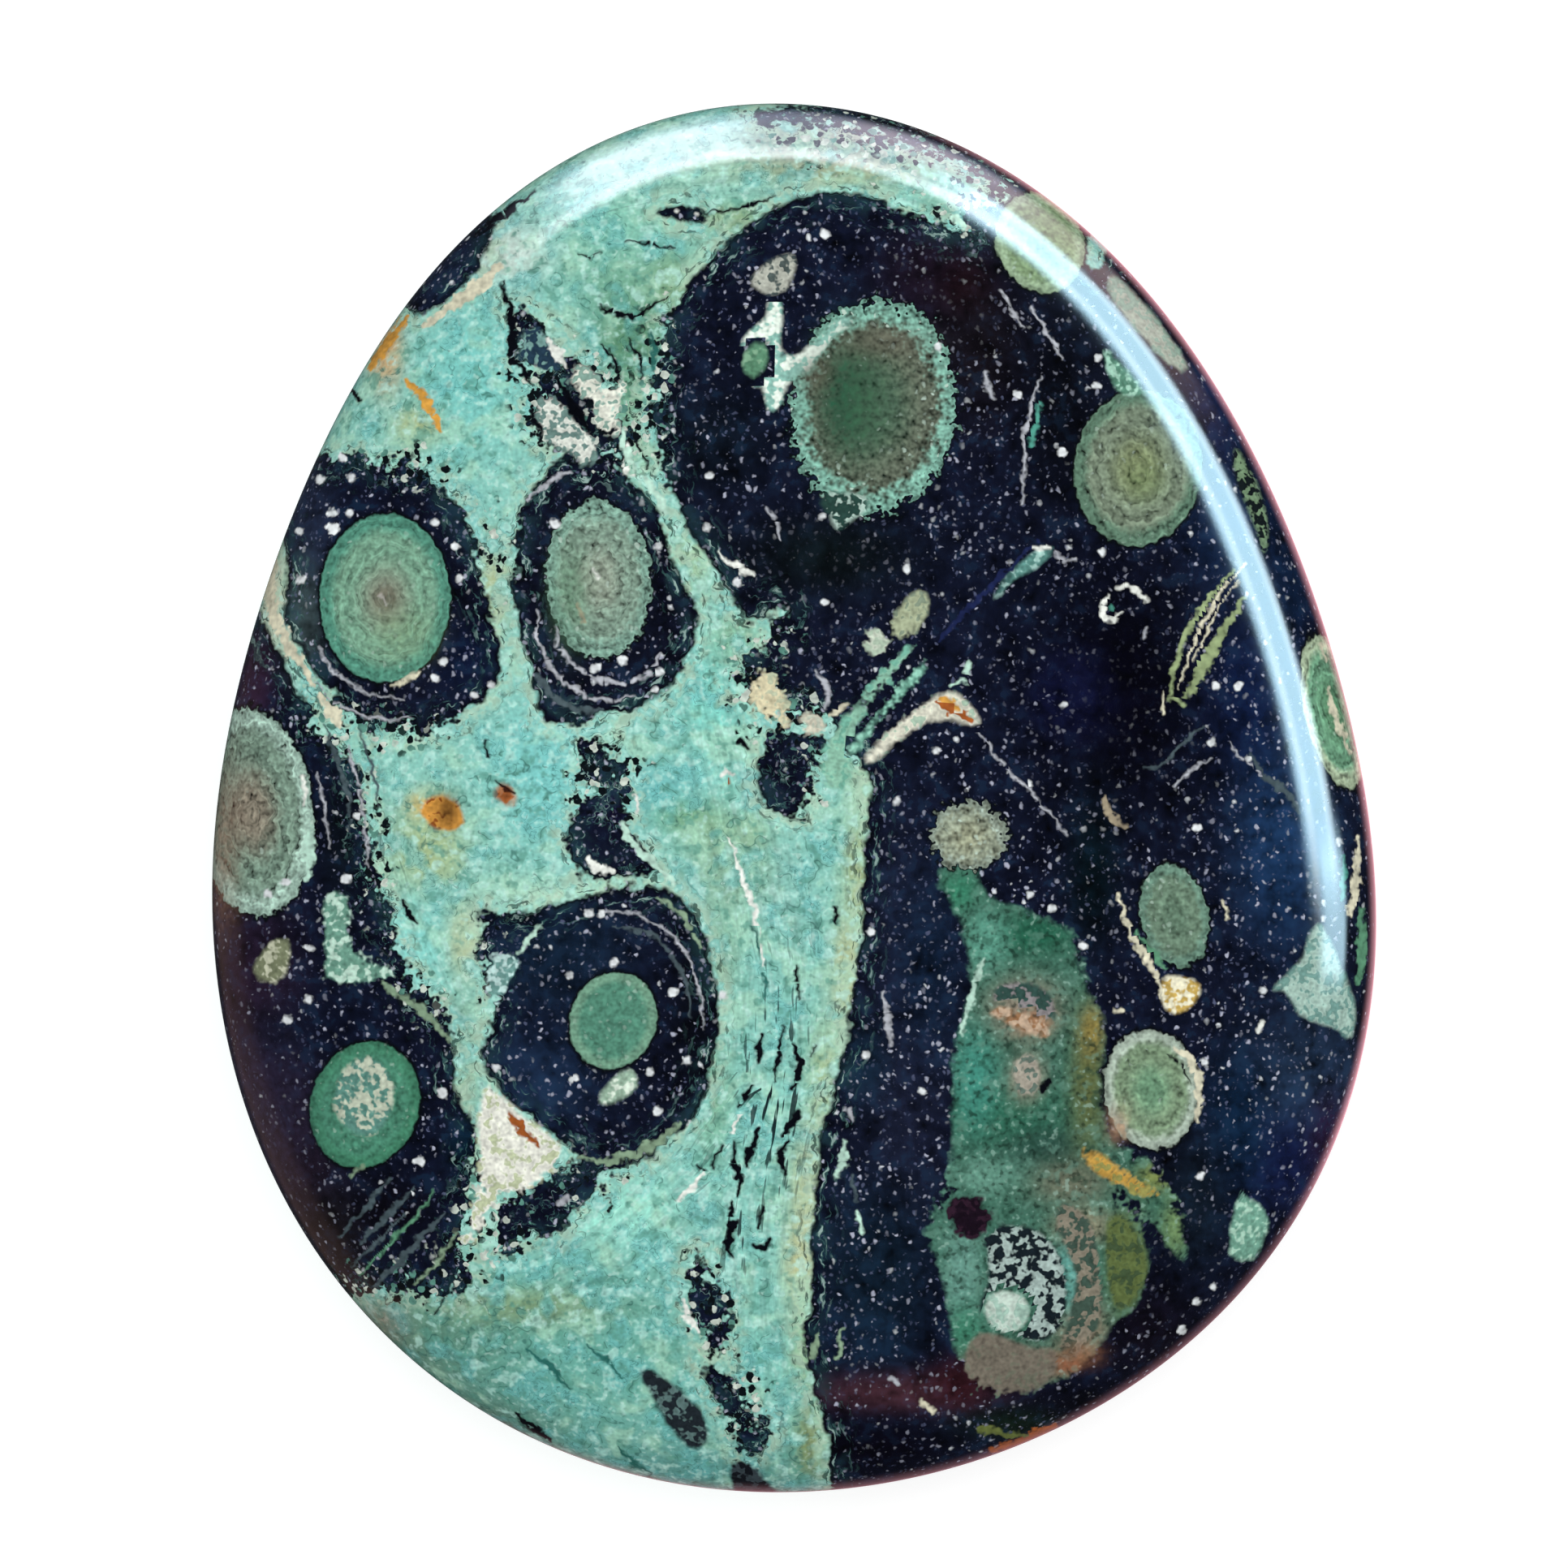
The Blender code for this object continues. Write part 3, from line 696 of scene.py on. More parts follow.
    ("mint", 0.14, [(2.05, -13.4), (2.15, -14.0)]),
    ("mint", 0.12, [(1.65, -11.0), (1.6, -11.8), (1.4, -12.2)]),
    ("slate", 0.09, [(1.9, -12.2), (2.0, -13.0)]),
    ("lilac", 0.12, [(1.8, -10.0), (1.85, -10.3)]),
    ("sage", 0.18, [(0.7, -17.4), (0.6, -18.0)]),
    ("sage", 0.12, [(1.5, -17.2), (1.4, -18.1)]),
    ("lilac", 0.1, [(2.9, -6.3), (3.0, -7.0), (3.1, -7.9)]),
    ("lilac", 0.16, [(3.1, -18.7), (3.4, -18.9)]),
    ("cream", 0.14, [(4.1, -19.5), (4.6, -19.8)]),
    ("moss", 0.2, [(6.0, -20.4), (7.6, -20.7)]),
    ("rust", 0.22, [(6.4, -21.1), (7.6, -20.8), (8.4, -20.3)]),
]

# Single bright specks in the dark rock: middle and radius.
BRIGHT_SPECKS = [
    (1.0, 18.2, 0.17), (4.65, 14.5, 0.16), (7.2, 13.0, 0.15), (9.8, 14.2, 0.14), (9.75, 13.25, 0.16),
    (8.65, 11.15, 0.16), (9.95, 7.9, 0.14), (3.6, 7.4, 0.16), (8.65, 3.0, 0.14), (7.55, 0.45, 0.14),
    (4.55, 1.55, 0.14), (3.3, -0.1, 0.14), (8.3, -3.55, 0.15), (7.6, -3.1, 0.14), (2.45, -4.3, 0.16),
    (9.3, -4.75, 0.15), (2.3, -8.25, 0.14), (4.1, -9.45, 0.14), (13.0, -0.95, 0.16), (13.6, 3.6, 0.14),
    (14.35, 3.6, 0.16), (13.45, 1.8, 0.16), (14.65, 1.3, 0.14), (15.1, -6.2, 0.16), (13.2, -8.5, 0.14),
    (13.1, -12.2, 0.15), (12.5, -17.2, 0.16), (13.55, -15.8, 0.14), (13.0, -16.3, 0.14), (17.6, -1.4, 0.14),
    (-15.35, 10.3, 0.18), (-14.6, 11.0, 0.16), (-14.3, 10.35, 0.17), (-14.9, 9.2, 0.19), (-14.9, 8.7, 0.22),
    (-14.35, 9.2, 0.14), (-16.0, 8.65, 0.14), (-15.95, 7.05, 0.18), (-11.3, 4.4, 0.17), (-11.55, 3.85, 0.17),
    (-9.75, 3.65, 0.14), (-10.3, 3.3, 0.14), (-11.6, 8.9, 0.14), (-10.9, 8.1, 0.14), (-10.8, 7.1, 0.14),
    (-7.7, 8.85, 0.19), (-4.4, 8.1, 0.15), (-6.4, 4.2, 0.2), (-5.5, 4.45, 0.18), (-4.35, 4.05, 0.16),
    (-4.5, 3.5, 0.14), (-6.8, 3.0, 0.14), (-1.85, 6.95, 0.16), (1.0, 6.3, 0.14), (-2.75, 10.4, 0.14),
    (-2.8, 8.7, 0.14), (0.9, 9.05, 0.14), (-6.6, -3.7, 0.17), (-6.2, -3.75, 0.14), (-5.8, -5.3, 0.15),
    (-3.9, -6.25, 0.18), (-2.3, -6.35, 0.16), (-3.45, -8.45, 0.18), (-4.65, -8.85, 0.15), (-7.25, -5.7, 0.15),
    (-7.1, -9.0, 0.14), (-4.4, -10.1, 0.16), (-15.65, -6.5, 0.16), (-16.35, -7.15, 0.17), (-17.0, -3.1, 0.16),
    (-16.4, -2.7, 0.17), (-15.6, -4.85, 0.14), (-14.45, -2.6, 0.18), (-14.05, -0.6, 0.16),
    (-11.35, -9.5, 0.19), (-12.1, -11.7, 0.2), (-9.6, -8.7, 0.15), (-7.15, -9.05, 0.14),
    (-12.35, -12.7, 0.14),
]

FLOW_CORE = 0.35  # the grain follows a flow line fully within this share of the line's reach

# The lines that the turquoise rock's grain follows, and how far from each line it does.
FLOW_LINES = [
    (
        2.6,
        [(-3.0, 5.2), (-2.2, 2.0), (-1.2, -2.0), (-0.7, -5.5), (-0.8, -9.0), (-1.4, -12.5), (-1.7, -16.0),
         (-1.2, -22.0)],
    ),
    (2.2, [(-1.2, -9.5), (-3.0, -12.0), (-6.0, -14.6), (-10.5, -17.2)]),
    (1.6, [(-8.5, 19.0), (-4.0, 20.2), (1.5, 20.3), (5.0, 19.3)]),
    (1.0, [(-13.3, 1.0), (-13.2, -2.0), (-12.0, -5.0), (-10.5, -8.5)]),
]

# The lower face: dark islands, each with an eye in the middle. Centre, half width, half height and tilt.
BACK_EYES = [
    (-9.5, 8.5, 1.7, 2.3, 10),
    (6.2, 11.0, 2.4, 2.8, -12),
    (-2.5, -1.8, 1.9, 1.6, 0),
    (9.5, 0.5, 1.5, 2.0, 25),
    (-11.5, -7.0, 1.8, 2.2, -20),
    (3.6, -12.5, 2.3, 1.9, 15),
    (11.8, -11.0, 1.4, 1.7, 0),
    (-4.2, 16.5, 1.5, 1.3, 0),
]
BACK_ISLAND_MARGIN_MM = 1.7
BACK_EYE_LOOK = ("#7E9478", "#86A286", "#5E8E74", 4.0, 0.3, 0.35)  # colours, rings and speckles, as in EYES

# On the lower face all rock right of a slanting line is dark too: where the line crosses the middle of the
# stone, how far it moves right per mm upwards, and how fast the dark deepens beyond it.
BACK_BORDER_MM = 6.0
BACK_BORDER_SLANT = 0.25
BACK_BORDER_STEEPNESS = 0.35

# The rock's fine pattern

# The noises that all layers of the rock share: lumps per mm, detail and roughness.
NOISES = {
    "clouds": (0.8, 2.0, 0.6),
    "lumps": (2.1, 2.0, 0.6),
    "grain": (4.6, 1.0, 0.5),
    "dust": (9.0, 0.0, 0.5),
}
NOISE_BEND_MM = 0.3  # how far the dots and crumbs are pushed about, so that they don't lie in rows
BORDER_LINES = 4.5  # how closely the thin lines along a border follow each other

# Tones over a rock's own colour: the noise that each follows, where on it the tone starts and where it is
# full, how strong it is, and its colour.
TURQUOISE_TONES = [
    ("clouds", 0.5, 0.64, 0.6, "#6CBAB8"),
    ("clouds", 0.46, 0.34, 0.6, "#A6D6BC"),
    ("lumps", 0.53, 0.67, 0.7, "#589686"),
    ("lumps", 0.46, 0.34, 0.6, "#B2E2D6"),
]
TURQUOISE_SPECKLES = [
    ("grain", 0.38, 0.26, 0.3, "#2F6C62"),
    ("grain", 0.6, 0.74, 0.32, "#D4F0E6"),
]
GREEN_TONES = [
    ("lumps", 0.54, 0.68, 0.35, "#6C9C8A"),
    ("lumps", 0.45, 0.34, 0.5, "#1F4436"),
    ("grain", 0.62, 0.74, 0.4, "#9CC0B2"),
    ("grain", 0.4, 0.3, 0.5, "#12281E"),
]

# Three sizes of soft dots: how many cells per mm, a dot's radius in cell widths, and the share of cells that
# have one.
DOT_SIZES = [
    (5.8, 0.3, 0.7),
    (4.2, 0.27, 0.68),
    (2.1, 0.17, 0.6),
]
DOT_SOFTNESS = 0.2  # how wide a dot's soft edge is, in cell widths
CRUMBS_PER_MM = 3.1

# The same dots where they lie in the dark rock: how strong they are, and their colour.
DOTS_IN_THE_DARK = [
    (0.6, "#646C8C"),
    (1.15, "#ACB0C2"),
    (1.3, "#DCE2E6"),
]

# The lines and specks, given one by one.
STROKE_WIDTH = 1.25  # a line's half width, as a share of the one given
STROKE_REACH_MM = 0.8  # how far around its stroke a quad can be and still take its colours from it
STROKE_THINNING = 0.65  # how much of its width a line loses towards its ends
SPECK_WIDTH = 0.75  # a speck's radius, as a share of the one given
SPECK_LENGTH_MM = 0.02
PATCH_MARGIN_MM = 0.2  # how far outside a patch a quad still takes its colours from it

# Where the dark rock has fewer specks, and where it has more: middle, radii and how much.
CALM_SPOTS = [
    (10.5, 3.2, 2.6, 3.6, 0.95),
    (8.6, 12.5, 1.4, 3.4, 0.5),
    (1.0, 7.6, 2.8, 1.8, 0.9),
    (5.2, 16.0, 2.2, 2.0, 0.85),
    (2.6, -21.0, 2.6, 1.0, 0.6),
    (9.9, -19.4, 2.2, 0.8, 0.6),
    (12.4, -15.0, 2.0, 3.0, 0.8),
    (4.0, -19.0, 2.6, 0.8, 0.5),
    (9.8, -2.4, 0.9, 2.6, 0.5),
    (-16.6, -13.0, 2.0, 3.0, 0.6),
    (-17.4, -7.0, 1.2, 3.0, 0.4),
    (-14.6, -13.0, 1.6, 1.4, 0.4),
]
BUSY_GAIN = 0.4  # how much more crowded the busiest spots are than the rest
BUSY_SPOTS = [
    (-13.2, 9.6, 2.6, 1.6, 0.7),
    (-14.8, 9.2, 1.0, 1.4, 1.0),
    (-11.0, 4.4, 1.4, 1.6, 0.5),
    (-6.5, 3.6, 2.0, 1.0, 0.5),
    (-2.0, 16.6, 1.6, 1.4, 0.5),
    (14.0, 2.0, 2.2, 3.4, 0.4),
    (14.2, -6.6, 1.4, 3.2, 0.4),
    (7.4, -2.8, 1.6, 0.9, 1.0),
    (-11.6, -10.3, 0.9, 2.0, 1.0),
]

# Where the borders of the rocks break up into crumbs: middle, radii and how much, from 0 to 1.
CRUMBLY_SPOTS = [
    (-5.6, 12.8, 1.6, 2.0, 0.9),
    (-8.4, 12.8, 1.3, 1.5, 0.8),
    (-8.8, 14.9, 0.8, 1.0, 0.5),
    (-12.6, 10.6, 2.4, 0.9, 0.6),
    (-9.6, 8.6, 0.8, 2.0, 0.5),
    (-13.6, 2.2, 2.6, 0.9, 0.8),
    (-13.6, -1.6, 0.9, 2.6, 0.6),
    (-12.6, -6.6, 1.6, 1.2, 0.7),
    (-14.0, -5.0, 1.4, 1.4, 0.5),
    (-9.6, -5.4, 0.8, 1.5, 0.6),
    (-9.6, -13.4, 1.3, 2.0, 0.9),
    (-12.6, -14.8, 2.6, 1.4, 1.0),
    (-7.0, -12.4, 2.2, 1.0, 0.5),
    (-6.0, 0.6, 1.4, 1.4, 0.8),
    (-6.0, -1.6, 1.2, 1.0, 0.4),
    (-0.4, 3.6, 1.8, 1.8, 0.9),
    (0.6, 0.8, 1.2, 1.6, 0.5),
    (2.8, 4.2, 1.2, 1.8, 0.7),
    (2.5, 21.2, 3.2, 1.0, 0.95),
    (6.8, 19.4, 2.4, 1.3, 0.95),
    (-4.4, 14.0, 0.7, 3.0, 0.7),
    (6.5, 18.6, 1.6, 1.2, 0.6),
    (0.6, -5.0, 0.5, 1.0, 0.3),
    (-2.7, -16.4, 0.9, 1.6, 0.7),
    (-1.6, -19.8, 0.9, 1.6, 0.7),
    (5.6, -13.4, 1.2, 1.4, 0.6),
    (5.4, -19.2, 2.4, 0.8, 0.6),
    (9.8, -3.6, 0.8, 2.0, 0.3),
    (11.4, -12.6, 1.4, 1.0, 0.5),
]

# Where the turquoise rock has dark flecks that lie along its flow: middle, radii and how much.
FLECKED_SPOTS = [
    (-0.6, -9.5, 1.5, 4.5, 1.0),
    (-1.7, -13.6, 1.1, 2.2, 0.9),
    (0.6, -5.5, 0.9, 2.4, 0.5),
    (-2.6, -12.0, 1.2, 1.6, 0.5),
    (-5.5, 18.6, 2.6, 1.0, 0.35),
    (-13.0, -1.0, 0.7, 2.5, 0.6),
]

# Soft tints over everything else: middle, radii, colour and strength. Three of them, along the left and
# lower-left rim, are painted reflection of the warm surroundings.
TINTS_AND_REFLECTION = [
    (1.75, 12.8, 0.95, 1.75, "#1C4C38", 0.9),
    (2.6, 12.6, 1.1, 1.6, "#46684E", 0.5),
    (0.6, 13.7, 0.5, 0.5, "#5A4E40", 0.5),
    (2.9, 14.7, 1.2, 0.45, "#5E564A", 0.45),
    (-13.2, 6.45, 0.4, 0.4, "#5E4A40", 0.6),
    (-12.6, 5.3, 0.9, 0.8, "#7E9468", 0.3),
    (-7.2, 6.6, 0.5, 1.3, "#5F8A6C", 0.5),
    (11.3, 10.2, 0.6, 0.6, "#6C8458", 0.4),
    # Warm brown at the left rim: painted reflection.
    (-18.5, -1.5, 0.5, 2.2, "#8A6A58", 0.5),
    (10.4, -10.5, 0.3, 0.5, "#B89478", 0.5),
    (9.2, -18.0, 0.6, 0.35, "#96684C", 0.6),
    # Warm brown at the lower-left rim: painted reflection.
    (-13.5, -17.0, 0.9, 0.7, "#8A6250", 0.4),
    (-11.15, -0.4, 0.28, 0.45, "#2E1408", 0.85),
    (-9.3, 0.1, 0.22, 0.26, "#4A2210", 0.75),
    # Dull purple near the lower-left rim: painted reflection.
    (-16.9, -10.5, 1.2, 3.0, "#33304A", 0.35),
]

# The polish and the light

# What the polish mirrors, in degrees: the bearing of its middle, half its width and its soft ends, the height
# where it starts, is full, starts to fade and has gone, and then its brightness and tint.
GLOWS = {
    "window": (34.0, 24.0, 12.0, 16.0, 24.0, 37.0, 41.0, 19.0, "#C0ECFF"),
    "window_tip": (0.0, 4.0, 4.0, 10.0, 16.0, 29.0, 36.0, 14.0, "#C4ECFF"),
    "window_edge": (32.0, 24.0, 8.0, 17.0, 20.0, 23.0, 26.0, 4.0, "#FFFFFF"),
    "window_inner_edge": (30.0, 24.0, 10.0, 32.5, 34.5, 36.0, 37.5, 5.0, "#FFFFFF"),
    "top_haze": (90.0, 24.0, 18.0, -40.0, 0.0, 34.0, 38.5, 4.6, "#E0E4FF"),
    "top_left_haze": (108.0, 8.0, 10.0, -12.0, 4.0, 30.0, 36.0, 7.0, "#ECF2FF"),
    "top_edge": (92.0, 30.0, 10.0, 28.0, 33.0, 36.0, 38.5, 7.0, "#FFFFFF"),
    "pink_haze": (58.0, 14.0, 16.0, -30.0, 0.0, 14.0, 24.0, 3.2, "#FFDCE2"),
    "pink_below": (18.0, 34.0, 22.0, -95.0, -90.0, -55.0, -28.0, 1.4, "#FFB4C0"),
    "pink_low": (295.0, 40.0, 20.0, -95.0, -90.0, -50.0, -20.0, 0.45, "#FFB4C0"),
    "warm_left": (200.0, 22.0, 20.0, -60.0, -30.0, 0.0, 20.0, 0.25, "#FFC8B4"),
}
POLISH_IOR = 1.54
POLISH_ROUGHNESS = 0.05
POLISH_UNEVENNESS = 0.08  # how much rougher it is in places
BUMP_STRENGTH = 0.04
BUMP_HEIGHT_MM = 0.02
BUMPS_PER_MM = 5.0

# The studio, in metres and watts.
OVERHEAD_WATTS = 17.7
OVERHEAD_WIDTH = 1.4
OVERHEAD_PLACE = (0.1, 0.15, 1.1)
FLOOR_REACH = 4.0
FLOOR_DROP_MM = 0.02  # how far the floor lies below the stone, so that the two don't touch
CARD_GREY = 0.4
CARD_GLOW = 0.75
CARD_ROUGHNESS = 0.9
VIEW_BACKGROUND = (1.0, 1.0, 1.0, 1.0)
DARK_ROOM = (0.03, 0.032, 0.036)


def linear(hex_colour):
    """A colour written as #RRGGBB, as the linear red, green and blue that shaders take."""
    shown = np.array([int(hex_colour[k : k + 2], 16) for k in (1, 3, 5)]) / 255
    return np.where(shown <= 0.04045, shown / 12.92, ((shown + 0.055) / 1.055) ** 2.4)


def named(colour):
    """The linear colour of a name in COLOURS, or of a #RRGGBB text."""
    return linear(COLOURS.get(colour, colour))


def smooth_step(value, start, end):
    """0 before start, 1 past end, and smooth between them."""
    t = np.clip((value - start) / (end - start), 0, 1)
    return t * t * (3 - 2 * t)


# The stone's shape


def box_skin(across, up):
    """A closed box of quads: its points, from -1 to 1 each way, and its quads as point numbers."""
    sizes = np.array((across, across, up))
    quads = []
    for axis in range(3):
        u, v = (axis + 1) % 3, (axis + 2) % 3
        i, j = np.meshgrid(np.arange(sizes[u]), np.arange(sizes[v]), indexing="ij")
        for side in (0, sizes[axis]):
            corners = np.empty((i.size, 4, 3), dtype=int)
            for corner, (du, dv) in enumerate(((0, 0), (1, 0), (1, 1), (0, 1))):
                corners[:, corner, u] = i.ravel() + du
                corners[:, corner, v] = j.ravel() + dv
                corners[:, corner, axis] = side
            quads.append(corners if side else corners[:, ::-1])
    corners = np.concatenate(quads).reshape(-1, 3)
    keys = (corners[:, 0] * (across + 1) + corners[:, 1]) * (up + 1) + corners[:, 2]
    _, first, numbers = np.unique(keys, return_index=True, return_inverse=True)
    return corners[first] / sizes * 2 - 1, numbers.reshape(-1, 4)


def rim_radius_mm(angle):
    """The smooth closed curve through RIM_RADII_MM, as in the CAD source."""
    count = len(RIM_RADII_MM)
    radius = np.zeros_like(angle)
    for k, measured in enumerate(RIM_RADII_MM):
        turn = angle - 2 * math.pi * k / count
        # Right at a rim point the quotient below would be 0 / 0, so the turn is moved off it a little.
        turn = np.where(np.abs(np.sin(turn / 2)) < 1e-9, 1e-7, turn)
        radius += measured * np.sin(count * turn / 2) / (count * np.tan(turn / 2))
    return radius


def stone_points_mm(box_points):
    """The box's points moved out onto the stone's skin, which is the CAD solid's, only finer."""
    spread = np.tan(box_points * math.pi / 4) * (1, 1, BOX_FLATNESS)
    x, y, z = (spread / np.linalg.norm(spread, axis=1, keepdims=True)).T
    level = np.hypot(x, y)
    reach = (level**FULLNESS + np.abs(z) ** FULLNESS) ** (-1 / FULLNESS)
    angle = np.arctan2(y, x)
    radius = reach * level * rim_radius_mm(angle)
    px, py = radius * np.cos(angle), radius * np.sin(angle)
    depth = np.where(z > 0, CROWN_HEIGHT_MM, BELLY_DEPTH_MM)
    pz = reach * z * depth * (1 - WEDGE * py / rim_radius_mm(np.array(math.pi / 2)))
    pz = np.maximum(pz, pz.min() + FLAT_SPOT_DEPTH_MM)
    return np.column_stack((px, py, pz))


def stand_where_the_solid_stands(points):
    """The points moved so that their box has the CAD part's middle and floor."""
    low, high = (np.array(corner) / MM for corner in cad_bounds)
    middle = (points.min(axis=0) + points.max(axis=0)) / 2
    wanted = (low + high) / 2
    return points + (wanted[0] - middle[0], wanted[1] - middle[1], low[2] - points[:, 2].min())


# Distances to outlines and lines, all in mm in the plan view


def rounded(outline):
    """The closed outline with its corners cut: each side gives two points, a quarter in from its ends."""
    points = np.array(outline)
    following = np.roll(points, -1, axis=0)
    pairs = np.stack((0.75 * points + 0.25 * following, 0.25 * points + 0.75 * following), axis=1)
    return pairs.reshape(-1, 2)


def depth_inside(places, outline, reach=DEPTH_REACH_MM):
    """How deep each place lies inside the outline. It is negative outside, and never below -reach."""
    points = rounded(outline)
    depth = np.full(len(places), -reach)
    low, high = points.min(axis=0) - reach, points.max(axis=0) + reach
    near = np.flatnonzero(np.all((places > low) & (places < high), axis=1))
    spot = places[near]
    squared = np.full(len(spot), reach**2)
    inside = np.zeros(len(spot), dtype=bool)
    for start, end in zip(points, np.roll(points, -1, axis=0)):
        side = end - start
        offset = spot - start
        share = np.clip(offset @ side / (side @ side), 0, 1)
        squared = np.minimum(squared, ((offset - share[:, None] * side) ** 2).sum(axis=1))
        crosses = (start[1] > spot[:, 1]) != (end[1] > spot[:, 1])
        if start[1] != end[1]:
            crossing = start[0] + (spot[:, 1] - start[1]) * side[0] / side[1]
            inside ^= crosses & (spot[:, 0] < crossing)
    depth[near] = np.sqrt(squared) * np.where(inside, 1, -1)
    return depth


def soft_cover(places, x, y, half_width, half_height):
    """A soft spot's cover: 1 in its middle, about a half at its radii, and nothing well outside them."""
    away = ((places[:, 0] - x) / half_width) ** 2 + ((places[:, 1] - y) / half_height) ** 2
    return np.exp(-SPOT_FADE * away**SPOT_STEEPNESS)


def washed(places, base, washes):
    """The rock's own colour with its soft washes over it, some of them painted shade or painted reflection.
    """
    colour = np.tile(named(base), (len(places), 1))
    for x, y, half_width, half_height, tint in washes:
        cover = soft_cover(places, x, y, half_width, half_height)[:, None]
        colour += cover * (named(tint) - colour)
    return colour


def amount(places, spots):
    """How much of something there is, from 0 to 1, where each soft spot brings its own share of it."""
    result = np.zeros(len(places))
    for x, y, half_width, half_height, share in spots:
        result = np.maximum(result, share * soft_cover(places, x, y, half_width, half_height))
    return result


def turned(offset, degrees):
    """The offsets as seen from axes that are turned by so many degrees anticlockwise."""
    angle = math.radians(degrees)
    along = offset[:, 0] * math.cos(angle) + offset[:, 1] * math.sin(angle)
    across = offset[:, 1] * math.cos(angle) - offset[:, 0] * math.sin(angle)
    return along, across


class Nearest:
    """For each of many places, which of several things lies nearest to it, and how far away that is."""

    def __init__(self, count):
        self.distance = np.full(count, np.inf)
        self.number = np.zeros(count, dtype=int)

    def offer(self, number, distance, places=None):
        """One more thing, with its distance from all places or from these."""
        if places is None:
            places = np.arange(len(self.number))
        closer = distance < self.distance[places]
        self.distance[places[closer]] = distance[closer]
        self.number[places[closer]] = number


# What the material reads: values on the mesh's points, and on the corners of its quads


class Skin:
    """The stone's mesh with its places in mm, where values for the material are stored.

    plan is each point as seen from above, and middles are the quads' middles. back is 0 on the upper face and
    1 on the lower one.
    """

    def __init__(self, points, quads):
        self.points = points
        self.quads = quads
        self.mesh = bpy.data.meshes.new("jasper_stone")
        self.mesh.vertices.add(len(points))
        self.mesh.vertices.foreach_set("co", (points * MM).ravel())
        self.mesh.loops.add(quads.size)
        self.mesh.loops.foreach_set("vertex_index", quads.ravel())
        self.mesh.polygons.add(len(quads))
        self.mesh.polygons.foreach_set("loop_start", np.arange(0, quads.size, 4))
        self.mesh.update(calc_edges=True)
        self.mesh.validate()
        self.mesh.shade_smooth()
        self.plan = points[:, :2]
        self.middles = points[quads].mean(axis=1)
        self.back = smooth_step((WIDEST_LEVEL_MM - points[:, 2]) / FRONT_FADE_MM, 0.0, 1.0)

    @property
    def corner_points(self):
        """Where each corner of each quad is, four corners to a quad."""
        return self.points[self.quads.ravel()]

    @property
    def corner_back(self):
        """How much each corner belongs to the lower face."""
        return self.back[self.quads.ravel()]

    def store(self, name, values, domain="POINT"):
        """Values for the material to read: one, three or four numbers on each point or corner."""
        values = np.asarray(values, dtype=np.float32)
        width = values.shape[1] if values.ndim == 2 else 1
        kind, field = {
            1: ("FLOAT", "value"),
            3: ("FLOAT_VECTOR", "vector"),
            4: ("FLOAT_COLOR", "color"),
        }[width]
        attribute = self.mesh.attributes.new(name, kind, domain)
        attribute.data.foreach_set(field, values.ravel())

    def store_colour(self, name, values, fourth, domain="POINT"):
        """A colour, with one more value beside it in its fourth place."""
        self.store(name, np.column_stack((values, fourth)), domain)


def store_rocks(skin):
    """Where the dark and the green rock are, and each rock's colour, with painted shade and reflection at the
    rim.
    """
    front_dark = np.max([depth_inside(skin.plan, outline) for outline in DARK_OUTLINES.values()], axis=0)
    front_green = np.max([depth_inside(skin.plan, outline) for outline in GREEN_OUTLINES.values()], axis=0)
    back_dark = dark_depth_at_the_back(skin.plan)
    dark = front_dark + skin.back * (back_dark - front_dark)
    green = front_green - DEPTH_REACH_MM * skin.back
    front = 1 - skin.back
    crowding = 1 + front * (BUSY_GAIN * amount(skin.plan, BUSY_SPOTS) - amount(skin.plan, CALM_SPOTS))
    skin.store("dark_depth", dark)
    skin.store("green_depth", green)
    # The turquoise and dark rocks' colours hold painted shade and painted reflection near the rim.
    skin.store("turquoise_rock", washed(skin.plan, "turquoise", TURQUOISE_WASHES_AND_SHADE))
    skin.store_colour("dark_rock", washed(skin.plan, "navy", DARK_WASHES_AND_REFLECTION), crowding)
    skin.store("green_rock", washed(skin.plan, "green_rock", GREEN_WASHES))
    skin.store("crumbly", amount(skin.plan, CRUMBLY_SPOTS) * front)
    skin.store("flecked", amount(skin.plan, FLECKED_SPOTS) * front)


def store_tints(skin):
    """The soft tints over everything else, some of them painted reflection at the rim, as one colour and its
    cover.
    """
    colour = np.zeros((len(skin.plan), 3))
    bare = np.ones(len(skin.plan))
    for x, y, half_width, half_height, tint, strength in TINTS_AND_REFLECTION:
        cover = strength * soft_cover(skin.plan, x, y, half_width, half_height) * (1 - skin.back)
        colour = colour * (1 - cover[:, None]) + named(tint) * cover[:, None]
        bare = bare * (1 - cover)
    cover = 1 - bare
    skin.store_colour("tint", colour / np.maximum(cover, 1e-4)[:, None], cover)


def dark_depth_at_the_back(places):
    """How deep each place lies in the lower face's dark rock: its islands, and the country at the right."""
    islands = np.max([back_island(places, *eye) for eye in BACK_EYES], axis=0)
    past_border = places[:, 0] - BACK_BORDER_MM - BACK_BORDER_SLANT * places[:, 1]
    deepest = np.maximum(islands, BACK_BORDER_STEEPNESS * past_border)
    return np.clip(deepest, -DEPTH_REACH_MM, DEPTH_REACH_MM)


def back_island(places, x, y, half_width, half_height, tilt):
    """How deep each place lies in the dark island around one of the lower face's eyes."""
    u, v = turned(places - (x, y), tilt)
    size = math.hypot(half_width, half_height) / math.sqrt(2)
    away = np.hypot(u / half_width, v / half_height) * size
    return size + BACK_ISLAND_MARGIN_MM - away


